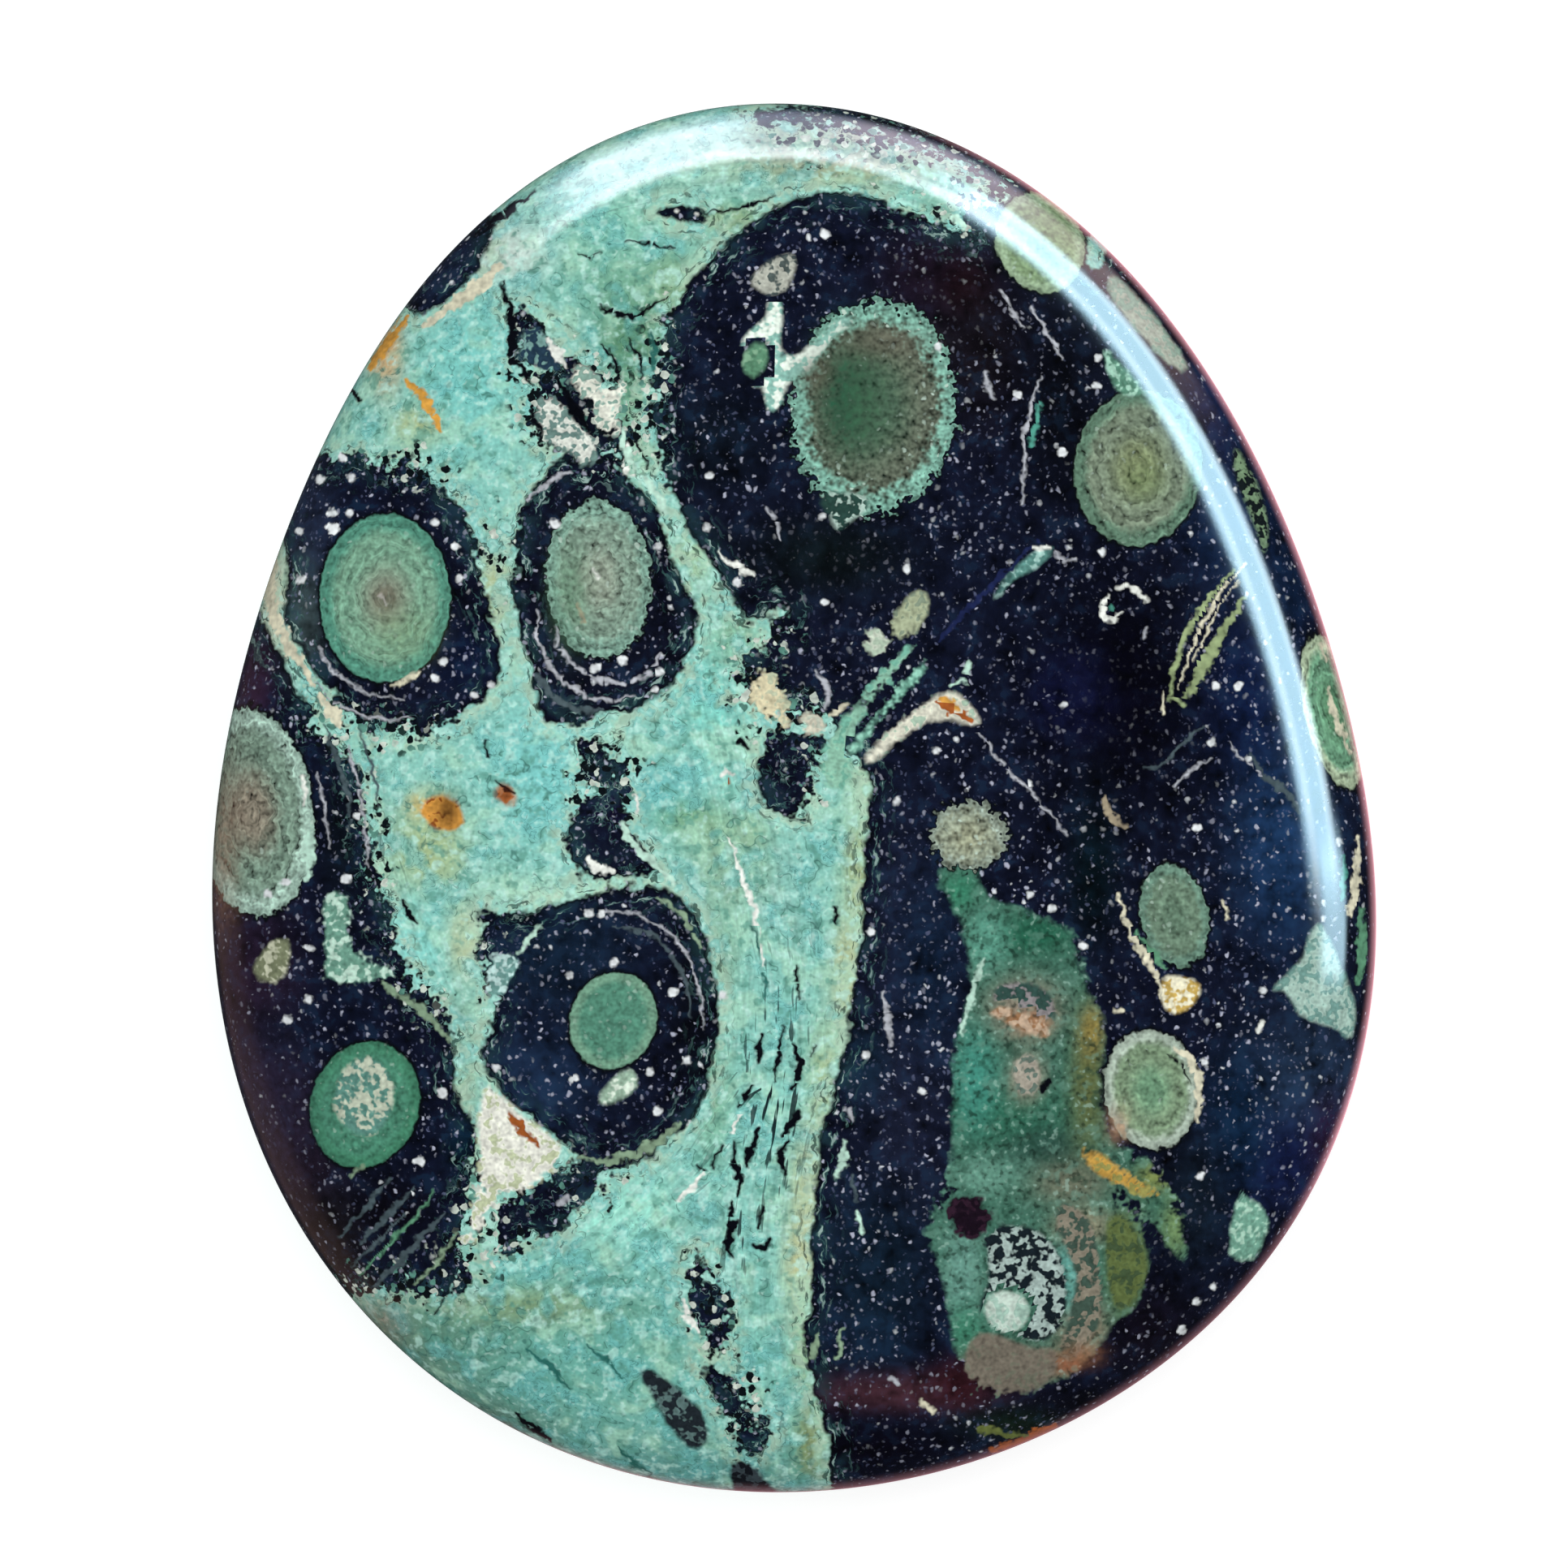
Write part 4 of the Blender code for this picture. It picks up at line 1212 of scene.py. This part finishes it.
def store_eyes(skin):
    """Each quad's corners get their place in the eye nearest to it, with the eye's edge at distance 1."""
    eyes = [(eye[:5], eye[5:], True) for eye in EYES] + [(eye, BACK_EYE_LOOK, False) for eye in BACK_EYES]
    nearest = Nearest(len(skin.quads))
    for number, (place, _, front) in enumerate(eyes):
        nearest.offer(number, np.linalg.norm(place_in_eye(skin.middles, place, front), axis=1))
    corners = skin.corner_points
    own = np.repeat(nearest.number, 4)
    place_in_its_eye = np.empty((len(corners), 3))
    for number, (place, _, front) in enumerate(eyes):
        mine = own == number
        place_in_its_eye[mine] = place_in_eye(corners[mine], place, front)
    skin.store("eye_place", place_in_its_eye, "CORNER")
    sizes = np.array([math.sqrt(place[2] * place[3]) for place, _, _ in eyes])
    for k, name in enumerate(("eye_middle", "eye_body", "eye_edge")):
        colours = np.array([named(look[k]) for _, look, _ in eyes])
        skin.store_colour(name, colours[own], sizes[own], "CORNER")
    rings = np.array([look[3:] for _, look, _ in eyes])
    skin.store("eye_rings", rings[own], "CORNER")


def place_in_eye(points, place, front):
    """Where points lie in an eye, which is an egg of rock that the surface cuts through."""
    x, y, half_width, half_height, tilt = place
    u, v = turned(points[:, :2] - (x, y), tilt)
    below = WIDEST_LEVEL_MM - points[:, 2]
    past_rim = np.maximum(below if front else -below, 0)
    return np.column_stack((u / half_width, v / half_height, past_rim / math.sqrt(half_width * half_height)))


def store_patches(skin):
    """Each quad's corners get their depth in the patch on top there, or else in the nearest one."""
    patches = list(PATCHES.values())
    best = np.full(len(skin.quads), -np.inf)
    chosen = np.zeros(len(skin.quads), dtype=int)
    depths = []
    for number, (_, _, _, outline) in enumerate(patches):
        depth = depth_inside(skin.plan, outline, reach=1.0)
        depths.append(depth)
        middle = depth[skin.quads].mean(axis=1)
        on_top = (middle > -PATCH_MARGIN_MM) | (middle > best)
        best[on_top] = middle[on_top]
        chosen[on_top] = number
    own = np.repeat(chosen, 4)
    depth = np.array(depths)[own, skin.quads.ravel()] - 2 * skin.corner_back
    main = np.array([named(colour) for colour, _, _, _ in patches])
    fleck = np.array([named(colour) for _, colour, _, _ in patches])
    share = np.array([flecked for _, _, flecked, _ in patches])
    skin.store_colour("patch_main", main[own], depth, "CORNER")
    skin.store_colour("patch_fleck", fleck[own], share[own], "CORNER")


def tapered(share):
    """A line's width at this share of its length: full in the middle, thinner towards both ends."""
    return 1 - STROKE_THINNING * abs(2 * share - 1) ** 3


def all_strokes():
    """Every line as straight strokes and every speck as a tiny one: ends, half widths there and colour."""
    strokes = []
    for colour, half_width, points in MARKS:
        lengths = [math.dist(start, end) for start, end in zip(points, points[1:])]
        passed = np.cumsum([0.0, *lengths]) / sum(lengths)
        widths = STROKE_WIDTH * half_width * tapered(passed)
        for start, end, first, last in zip(points, points[1:], widths, widths[1:]):
            strokes.append((start, end, first, last, named(colour)))
    for x, y, radius in BRIGHT_SPECKS:
        half_width = SPECK_WIDTH * radius
        left, right = (x - SPECK_LENGTH_MM / 2, y), (x + SPECK_LENGTH_MM / 2, y)
        strokes.append((left, right, half_width, half_width, named("speck")))
    return strokes


def nearest_strokes(skin, centres, directions, half_lengths, half_widths):
    """For each quad, the number of the stroke whose edge is nearest to the quad's middle."""
    nearest = Nearest(len(skin.quads))
    plan = skin.middles[:, :2]
    strokes = zip(centres, directions, half_lengths, half_widths)
    for number, (centre, direction, half_length, half_width) in enumerate(strokes):
        near = np.flatnonzero(np.all(np.abs(plan - centre) < half_length + STROKE_REACH_MM, axis=1))
        offset = plan[near] - centre
        across = offset @ (-direction[1], direction[0])
        past_end = np.maximum(np.abs(offset @ direction) - half_length, 0)
        nearest.offer(number, np.hypot(past_end, across) - half_width, near)
    return nearest.number


def store_strokes(skin):
    """Each quad's corners get their place along and across the stroke nearest to it."""
    starts, ends, first, last, colours = (np.array(column) for column in zip(*all_strokes()))
    half_lengths = np.linalg.norm(ends - starts, axis=1) / 2
    centres = (starts + ends) / 2
    directions = (ends - starts) / (2 * half_lengths[:, None])
    own = np.repeat(nearest_strokes(skin, centres, directions, half_lengths, (first + last) / 2), 4)
    offset = skin.corner_points[:, :2] - centres[own]
    along = (offset * directions[own]).sum(axis=1)
    across = offset[:, 1] * directions[own][:, 0] - offset[:, 0] * directions[own][:, 1]
    share = np.clip(along / half_lengths[own] / 2 + 0.5, 0, 1)
    half_width = first[own] + share * (last - first)[own] - skin.corner_back
    skin.store("stroke_place", np.column_stack((along, across, half_lengths[own])), "CORNER")
    skin.store_colour("stroke_colour", colours[own], half_width, "CORNER")


def store_flow(skin):
    """How far along and across the nearest flow line each point lies, and how much the grain follows it."""
    corners = skin.corner_points[:, :2]
    nearest = Nearest(len(skin.quads))
    placed = []
    for number, (reach, line) in enumerate(FLOW_LINES):
        _, away = along_and_away(skin.middles[:, :2], line)
        nearest.offer(number, np.abs(away) / reach)
        along, away = along_and_away(corners, line)
        placed.append((along, away, np.abs(away) / reach))
    own = np.repeat(nearest.number, 4)
    along, away, share = (np.choose(own, column) for column in zip(*placed))
    strength = (1 - smooth_step(share, FLOW_CORE, 1.0)) * (1 - skin.corner_back)
    skin.store("flow", np.column_stack((along, away, strength)), "CORNER")


def along_and_away(places, line):
    """How far along the line the point nearest each place is, and how far to its left or right the place."""
    points = np.array(line)
    best = np.full(len(places), np.inf)
    along, away = np.zeros(len(places)), np.zeros(len(places))
    passed = 0.0
    for start, end in zip(points, points[1:]):
        length = np.linalg.norm(end - start)
        direction = (end - start) / length
        offset = places - start
        run = np.clip(offset @ direction, 0, length)
        distance = np.linalg.norm(offset - run[:, None] * direction, axis=1)
        side = np.sign(direction[0] * offset[:, 1] - direction[1] * offset[:, 0])
        closer = distance < best
        best[closer] = distance[closer]
        along[closer] = passed + run[closer]
        away[closer] = (distance * side)[closer]
        passed += length
    return along, away


# The material


class Nodes:
    """Short names for the shader nodes that the material is made of. A value can be a number or a socket."""

    def __init__(self, owner):
        owner.use_nodes = True
        self.tree = owner.node_tree
        self.tree.nodes.clear()

    def add(self, kind, **settings):
        """A new shader node with these settings."""
        node = self.tree.nodes.new("ShaderNode" + kind)
        for name, value in settings.items():
            setattr(node, name, value)
        return node

    def join(self, value, socket):
        """An output is linked to the socket. A number or a colour becomes the socket's own value."""
        if isinstance(value, bpy.types.NodeSocket):
            self.tree.links.new(value, socket)
        elif value is not None:
            socket.default_value = value

    def math(self, operation, first, second=None, clamped=False):
        node = self.add("Math", operation=operation, use_clamp=clamped)
        self.join(first, node.inputs[0])
        self.join(second, node.inputs[1])
        return node.outputs[0]

    def total(self, *values):
        result = values[0]
        for value in values[1:]:
            result = self.math("ADD", result, value)
        return result

    def times(self, *values):
        result = values[0]
        for value in values[1:]:
            result = self.math("MULTIPLY", result, value)
        return result

    def minus(self, first, second):
        return self.math("SUBTRACT", first, second)

    def sway(self, noise, strength):
        """A noise around 0.5 as a sway to both sides of zero, of this strength."""
        return self.times(self.minus(noise, 0.5), strength)

    def step(self, value, start, end):
        """0 below start, 1 above end, and smooth between them. A start above the end turns it round."""
        node = self.add("MapRange", interpolation_type="SMOOTHSTEP")
        self.join(value, node.inputs["Value"])
        node.inputs["From Min"].default_value = min(start, end)
        node.inputs["From Max"].default_value = max(start, end)
        node.inputs["To Min"].default_value = 0.0 if start < end else 1.0
        node.inputs["To Max"].default_value = 1.0 if start < end else 0.0
        return node.outputs["Result"]

    def blend(self, share, under, over):
        """The colour under, with the colour over laid on it by this share. Either can be a #RRGGBB text."""
        node = self.add("Mix", data_type="RGBA")
        self.join(share, node.inputs["Factor"])
        for colour, socket in ((under, node.inputs[6]), (over, node.inputs[7])):
            self.join((*linear(colour), 1.0) if isinstance(colour, str) else colour, socket)
        return node.outputs[2]

    def scaled(self, colour, factor):
        """The colour made lighter or darker by a factor."""
        node = self.add("VectorMath", operation="SCALE")
        self.join(colour, node.inputs[0])
        self.join(factor, node.inputs["Scale"])
        return node.outputs[0]

    def sum(self, first, second):
        """Two vectors or colours added up."""
        node = self.add("VectorMath", operation="ADD")
        self.join(first, node.inputs[0])
        self.join(second, node.inputs[1])
        return node.outputs[0]

    def stored(self, name):
        """What the mesh stores under this name: Fac for a number, Vector, or Color with Alpha."""
        return self.add("Attribute", attribute_name=name).outputs

    def parts(self, vector):
        """A vector's x, y and z."""
        node = self.add("SeparateXYZ")
        self.join(vector, node.inputs[0])
        return node.outputs

    def vector(self, x, y, z=0.0):
        node = self.add("CombineXYZ")
        for value, socket in zip((x, y, z), node.inputs):
            self.join(value, socket)
        return node.outputs[0]

    def length(self, vector):
        node = self.add("VectorMath", operation="LENGTH")
        self.join(vector, node.inputs[0])
        return node.outputs["Value"]

    def noise(self, place, scale, detail=2.0, roughness=0.5):
        """Smooth noise from 0 to 1, around 0.5, with so many lumps per mm."""
        node = self.add("TexNoise")
        self.join(place, node.inputs["Vector"])
        node.inputs["Scale"].default_value = scale
        node.inputs["Detail"].default_value = detail
        node.inputs["Roughness"].default_value = roughness
        return node.outputs["Fac"]

    def cells(self, place, scale):
        """Scattered points, so many per mm: how many cells the nearest is away, and its random colour."""
        node = self.add("TexVoronoi")
        self.join(place, node.inputs["Vector"])
        node.inputs["Scale"].default_value = scale
        return node.outputs["Distance"], node.outputs["Color"]


class Rock:
    """What all layers of the rock share: noises from clouds down to dust, dots, crumbs and stray borders."""

    def __init__(self, n):
        self.n = n
        self.place = n.scaled(n.add("TexCoord").outputs["Object"], 1 / MM)
        self.noises = {name: n.noise(self.place, *look) for name, look in NOISES.items()}
        self.clouds, self.lumps, self.grain, self.dust = self.noises.values()
        bend = n.vector(n.sway(self.lumps, NOISE_BEND_MM), n.sway(self.grain, NOISE_BEND_MM))
        self.bent_place = n.sum(self.place, bend)
        self.fine_dots, self.dots, self.large_dots = (self.dots_of(*look) for look in DOT_SIZES)
        self.crumb_distance, self.crumb_random = n.cells(self.bent_place, CRUMBS_PER_MM)
        crumbly = n.stored("crumbly")["Fac"]
        self.stray = n.total(
            n.sway(self.clouds, 0.5),
            n.sway(self.lumps, n.total(0.45, n.times(crumbly, 2.0))),
            n.sway(self.grain, n.total(0.12, n.times(crumbly, 1.2))),
        )

    def shade(self, base, **strengths):
        """A base with so much of each named noise added. As a factor, it mottles a colour."""
        parts = (self.n.times(self.noises[name], strength) for name, strength in strengths.items())
        return self.n.total(base, *parts)

    def dots_of(self, per_mm, radius, share):
        """Soft round dots, each with its own size and brightness. The clouds thin them out here and there."""
        n = self.n
        distance, random = n.cells(self.bent_place, per_mm)
        show, size, light = n.parts(random)
        present = n.step(n.times(show, self.shade(0.35, clouds=1.3)), 1 - share, 1.05 - share)
        edge = n.times(n.total(0.5, size), radius)
        dot = n.math("DIVIDE", n.minus(edge, distance), DOT_SOFTNESS, clamped=True)
        return n.times(dot, present, n.total(0.2, n.times(light, 0.8)))


def lines_along_the_border(n, rock, depth):
    """Noise drawn out along the borders of the dark rock, for the thin lines beside them."""
    x, y, _ = n.parts(rock.place)
    return n.noise(n.vector(x, y, n.times(depth, BORDER_LINES)), 1.4, 2.0, 0.6)


def toned(n, rock, colour, tones):
    """The colour with tones over it, each of them where its noise runs from its start to its full value."""
    for noise, start, full, strength, tone in tones:
        cover = n.times(n.step(rock.noises[noise], start, full), strength)
        colour = n.blend(cover, colour, tone)
    return colour


def turquoise_rock(n, rock, dark_depth, lines):
    """Mottled turquoise with streaks along its flow, fine veins and cracks, and a pale, inked margin."""
    colour = n.stored("turquoise_rock")["Color"]
    colour = toned(n, rock, colour, TURQUOISE_TONES)
    colour = n.scaled(colour, rock.shade(0.59, grain=0.6, dust=0.3))
    along, across, strength = n.parts(n.stored("flow")["Vector"])
    streaks = n.noise(n.vector(n.times(along, 0.55), n.times(across, 3.6)), 1.0, 2.0, 0.6)
    colour = n.scaled(colour, n.total(1.0, n.times(n.sway(streaks, 1.1), strength)))
    colour = toned(n, rock, colour, TURQUOISE_SPECKLES)
    vein = n.math("ABSOLUTE", n.minus(rock.clouds, 0.52))
    broken = n.step(rock.lumps, 0.5, 0.56)
    colour = n.blend(n.times(n.step(vein, 0.014, 0.0), broken, 0.6), colour, "#2C6058")
    crack = n.math("ABSOLUTE", n.minus(rock.lumps, 0.5))
    opened = n.step(rock.clouds, 0.5, 0.58)
    colour = n.blend(n.times(n.step(crack, 0.016, 0.0), opened, 0.55), colour, "#2A6258")
    margin = n.times(n.step(dark_depth, -0.75, -0.1), n.step(rock.lumps, 0.42, 0.58), 0.5)
    colour = n.blend(margin, colour, "#C4DCC2")
    inked = n.times(n.step(lines, 0.43, 0.36), n.step(dark_depth, -0.8, -0.1), 0.8)
    colour = n.blend(inked, colour, "#14342F")
    flecks = n.times(n.step(streaks, 0.58, 0.64), strength, n.stored("flecked")["Fac"])
    return n.blend(flecks, colour, "#0C1A22")


def dark_rock(n, rock, depth, lines):
    """Near-black rock with blue and teal clouds, pale threads along its border and dots of three sizes."""
    stored = n.stored("dark_rock")
    colour = n.scaled(stored["Color"], rock.shade(-0.9, clouds=1.6, lumps=1.6))
    blue = n.times(n.step(rock.lumps, 0.5, 0.62), n.step(rock.clouds, 0.44, 0.6), stored["Alpha"], 0.4)
    colour = n.blend(blue, colour, "#142C44")
    teal = n.times(n.step(depth, 0.9, 0.1), n.step(rock.clouds, 0.48, 0.6), 0.4)
    colour = n.blend(teal, colour, "#24484C")
    colour = n.blend(n.times(n.step(lines, 0.55, 0.62), n.step(depth, 1.2, 0.2), 0.5), colour, "#44706C")
    colour = n.blend(n.times(n.step(lines, 0.63, 0.68), n.step(depth, 0.9, 0.15), 0.8), colour, "#A8C4BC")
    colour = n.blend(n.times(n.step(depth, 0.3, 0.05), 0.75), colour, "#020408")
    crowding = stored["Alpha"]
    for dots, (brightness, tint) in zip((rock.fine_dots, rock.dots, rock.large_dots), DOTS_IN_THE_DARK):
        cover = n.math("MULTIPLY", dots, n.times(crowding, brightness), clamped=True)
        colour = n.blend(cover, colour, tint)
    return colour


def crumb_cover(n, rock, dark_depth):
    """Broken bits of rock lie where a border crumbles, and only near it."""
    near_border = n.step(n.math("ABSOLUTE", dark_depth), 1.1, 0.5)
    crumbly = n.total(n.stored("crumbly")["Fac"], n.sway(rock.lumps, 1.5))
    crumbling = n.step(crumbly, 0.42, 0.52)
    distance = n.total(rock.crumb_distance, n.sway(rock.grain, 0.7))
    return n.times(n.step(distance, 0.46, 0.38), near_border, crumbling)


def crumb_colour(n, rock):
    """Each crumb is pale, black or green."""
    pick, _, _ = n.parts(rock.crumb_random)
    colour = n.blend(n.step(pick, 0.26, 0.28), "#CCD8CC", "#0A1216")
    colour = n.blend(n.step(pick, 0.82, 0.84), colour, "#5E9486")
    return n.scaled(colour, rock.shade(0.35, grain=1.2))


def green_rock(n, rock):
    """Dark green with paler and darker lumps and grains."""
    colour = n.scaled(n.stored("green_rock")["Color"], rock.shade(0.0, grain=1.3, dust=0.7))
    return toned(n, rock, colour, GREEN_TONES)


def eye_distance(n, rock, size, speckled):
    """How far each place is from its eye's middle, with the edge at 1. The noises fray rings and edge."""
    crumbs = n.sway(rock.grain, n.times(speckled, 1.1))
    stray = n.total(n.sway(rock.lumps, n.total(0.08, n.times(speckled, 0.7))), crumbs)
    return n.total(n.length(n.stored("eye_place")["Vector"]), n.math("DIVIDE", stray, size))


def eye_shade(n, rock, away, rings, contrast, speckled):
    """How bright the eye's colour is: coarse and fine rings that break off here and there, and grain."""
    turns = n.times(n.total(away, rock.shade(0.0, clouds=0.4, lumps=0.15)), rings, 2 * math.pi)
    waves = n.total(n.math("SINE", turns), n.times(n.math("SINE", n.times(turns, 2.7)), 0.6))
    broken = n.total(n.times(n.step(rock.lumps, 0.36, 0.6), 1.3), 0.2)
    grain = n.total(n.sway(rock.grain, 1.2), n.sway(rock.dust, 0.6))
    grain = n.times(grain, n.total(0.9, n.times(speckled, 1.4)))
    return n.total(1.0, n.times(waves, contrast, broken), grain)


def eye_cover_and_colour(n, rock):
    """How much of each place is eye, and the eye's colour there: rings, speckles and a dark line around."""
    middle, body, edge = (n.stored("eye_" + name) for name in ("middle", "body", "edge"))
    rings, contrast, speckled = n.parts(n.stored("eye_rings")["Vector"])
    size = middle["Alpha"]
    away = eye_distance(n, rock, size, speckled)
    colour = n.blend(n.step(away, 0.15, 0.6), middle["Color"], body["Color"])
    colour = n.blend(n.step(away, 0.72, 0.9), colour, edge["Color"])
    colour = n.scaled(colour, eye_shade(n, rock, away, rings, contrast, speckled))
    near_edge = n.times(n.total(0.35, n.times(n.step(away, 0.55, 0.85), 0.65)), speckled)
    colour = n.blend(n.times(rock.fine_dots, n.total(0.2, n.times(near_edge, 0.7))), colour, "#1C302A")
    colour = n.blend(n.times(rock.dots, n.total(0.3, near_edge)), colour, "#C4DCCE")
    depth = n.times(n.minus(1.0, away), size)
    colour = n.blend(n.step(depth, 0.02, -0.06), colour, "#05080C")
    return n.step(depth, -0.2, -0.04), colour


def patch_cover_and_colour(n, rock):
    """How much of each place is patch, and the patch's colour there with its flecks."""
    main, fleck = n.stored("patch_main"), n.stored("patch_fleck")
    mottling = rock.shade(0.0, lumps=0.55, grain=0.45)
    share = n.step(n.total(mottling, n.times(fleck["Alpha"], 0.2)), 0.56, 0.63)
    colour = n.blend(share, main["Color"], fleck["Color"])
    colour = n.scaled(colour, rock.shade(0.2, grain=1.1, dust=0.5))
    return n.step(n.total(main["Alpha"], n.times(rock.stray, 0.5)), -0.1, 0.1), colour


def stroke_cover_and_colour(n, rock):
    """How much of each place is a listed line or speck, and its colour there."""
    stroke = n.stored("stroke_colour")
    along, across, half_length = n.parts(n.stored("stroke_place")["Vector"])
    wobble = n.total(0.15, n.times(n.step(half_length, 0.02, 0.3), 0.35))
    along = n.total(along, n.sway(rock.clouds, wobble))
    across = n.total(across, n.sway(rock.lumps, wobble))
    past_end = n.math("MAXIMUM", n.minus(n.math("ABSOLUTE", along), half_length), 0.0)
    away = n.length(n.vector(past_end, across))
    chipped = rock.shade(0.1, grain=1.8)
    inside = n.minus(n.times(stroke["Alpha"], chipped), away)
    colour = n.scaled(stroke["Color"], rock.shade(-0.1, grain=1.0, clouds=1.0))
    return n.step(inside, -0.06, 0.05), colour


def rock_colour(n, rock):
    """All layers, from the turquoise rock up to the tints."""
    dark_depth = n.total(n.stored("dark_depth")["Fac"], rock.stray)
    green_depth = n.total(n.stored("green_depth")["Fac"], rock.stray)
    lines = lines_along_the_border(n, rock, dark_depth)
    colour = turquoise_rock(n, rock, dark_depth, lines)
    colour = n.blend(n.step(dark_depth, -0.08, 0.1), colour, dark_rock(n, rock, dark_depth, lines))
    colour = n.blend(crumb_cover(n, rock, dark_depth), colour, crumb_colour(n, rock))
    colour = n.blend(n.step(green_depth, -0.1, 0.15), colour, green_rock(n, rock))
    for cover, layer in (
        eye_cover_and_colour(n, rock),
        patch_cover_and_colour(n, rock),
        stroke_cover_and_colour(n, rock),
    ):
        colour = n.blend(cover, colour, layer)
    tint = n.stored("tint")
    uneven = rock.shade(0.4, grain=1.2)
    tinted = n.scaled(tint["Color"], uneven)
    return n.blend(n.math("MULTIPLY", tint["Alpha"], uneven, clamped=True), colour, tinted)


def jasper_material():
    """The polished rock: one gloss over all its colours, with a bump too fine to see as relief."""
    material = bpy.data.materials.new("polished_jasper")
    n = Nodes(material)
    rock = Rock(n)
    shader = n.add("BsdfPrincipled")
    n.join(rock_colour(n, rock), shader.inputs["Base Color"])
    n.join(rock.shade(POLISH_ROUGHNESS, clouds=POLISH_UNEVENNESS), shader.inputs["Roughness"])
    shader.inputs["IOR"].default_value = POLISH_IOR
    bump = n.add("Bump")
    bump.inputs["Strength"].default_value = BUMP_STRENGTH
    bump.inputs["Distance"].default_value = BUMP_HEIGHT_MM * MM
    n.join(n.noise(rock.place, BUMPS_PER_MM), bump.inputs["Height"])
    n.join(bump.outputs[0], shader.inputs["Normal"])
    n.join(shader.outputs[0], n.add("OutputMaterial").inputs["Surface"])
    return material


def make_stone():
    """The dressed stone, which replaces the CAD solid and stands where it stands."""
    box_points, quads = box_skin(QUADS_ACROSS, QUADS_UP)
    skin = Skin(stand_where_the_solid_stands(stone_points_mm(box_points)), quads)
    store_rocks(skin)
    store_eyes(skin)
    store_patches(skin)
    store_strokes(skin)
    store_flow(skin)
    store_tints(skin)
    skin.mesh.materials.append(jasper_material())
    stone = bpy.data.objects.new("jasper_stone", skin.mesh)
    bpy.context.scene.collection.objects.link(stone)
    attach(stone, "root")
    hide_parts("stone")


# The studio


def make_floor():
    """A sheet of white card, lit from below as well, so that the stone throws hardly any shadow on it."""
    mesh = bpy.data.meshes.new("floor")
    far = FLOOR_REACH
    corners = [(-far, -far, 0), (far, -far, 0), (far, far, 0), (-far, far, 0)]
    mesh.from_pydata(corners, [], [(0, 1, 2, 3)])
    floor = bpy.data.objects.new("floor", mesh)
    floor.location.z = -FLOOR_DROP_MM * MM
    material = bpy.data.materials.new("white_card")
    material.use_nodes = True
    shader = material.node_tree.nodes["Principled BSDF"]
    shader.inputs["Base Color"].default_value = (CARD_GREY, CARD_GREY, CARD_GREY, 1.0)
    shader.inputs["Roughness"].default_value = CARD_ROUGHNESS
    shader.inputs["Specular IOR Level"].default_value = 0.0
    shader.inputs["Emission Color"].default_value = (1.0, 1.0, 1.0, 1.0)
    shader.inputs["Emission Strength"].default_value = CARD_GLOW
    mesh.materials.append(material)
    bpy.context.scene.collection.objects.link(floor)
    floor.visible_glossy = False


def make_camera():
    """A long lens straight above the stone."""
    data = bpy.data.cameras.new("camera")
    data.sensor_width = LENS_MM * FRAME_WIDTH_MM / (CAMERA_HEIGHT_MM - WIDEST_LEVEL_MM)
    data.lens = LENS_MM
    data.clip_end = CAMERA_REACH
    camera = bpy.data.objects.new("camera", data)
    camera.location = Vector((*FRAME_CENTRE_MM, CAMERA_HEIGHT_MM)) * MM
    bpy.context.scene.collection.objects.link(camera)
    bpy.context.scene.camera = camera


def make_overhead_light():
    """A large soft light above the camera. It lights the rock and leaves no reflection of itself."""
    data = bpy.data.lights.new("overhead", "AREA")
    data.shape = "DISK"
    data.size = OVERHEAD_WIDTH
    data.energy = OVERHEAD_WATTS
    light = bpy.data.objects.new("overhead", data)
    light.location = OVERHEAD_PLACE
    light.rotation_euler = (-light.location).to_track_quat("-Z", "Y").to_euler()
    light.visible_glossy = False
    light.visible_camera = False
    bpy.context.scene.collection.objects.link(light)


def glow_light(n, bearing, height, glow):
    """One glow's light at a bearing and height: full in its middle, and soft at its ends, bottom and top."""
    middle, half_width, ends, bottom, full_from, full_to, top, brightness, tint = glow
    turn = n.add("Math", operation="WRAP")
    n.join(n.minus(bearing, middle), turn.inputs[0])
    turn.inputs[1].default_value = 180.0
    turn.inputs[2].default_value = -180.0
    sideways = n.step(n.math("ABSOLUTE", turn.outputs[0]), half_width + ends, half_width)
    upright = n.times(n.step(height, bottom, full_from), n.step(height, top, full_to))
    return n.scaled(tuple(linear(tint)), n.times(sideways, upright, brightness))


def make_surroundings():
    """What the polish mirrors: the glows, in an otherwise dark room. The camera itself sees plain white."""
    world = bpy.data.worlds.new("studio")
    bpy.context.scene.world = world
    n = Nodes(world)
    x, y, z = n.parts(n.add("TexCoord").outputs["Generated"])
    bearing = n.times(n.math("ARCTAN2", y, x), 180 / math.pi)
    height = n.times(n.math("ARCSINE", z), 180 / math.pi)
    mirrored = n.vector(*DARK_ROOM)
    for glow in GLOWS.values():
        mirrored = n.sum(mirrored, glow_light(n, bearing, height, glow))
    seen = n.add("LightPath").outputs["Is Camera Ray"]
    background = n.add("Background")
    n.join(n.blend(seen, mirrored, VIEW_BACKGROUND), background.inputs["Color"])
    n.join(background.outputs[0], n.add("OutputWorld").inputs["Surface"])
    world.cycles_visibility.diffuse = False


def write_sizes():
    """Brings the scene up to date once everything is built."""
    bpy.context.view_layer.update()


def main():
    bpy.context.scene.view_settings.view_transform = "Standard"
    make_stone()
    make_floor()
    make_camera()
    make_overhead_light()
    make_surroundings()
    write_sizes()


main()
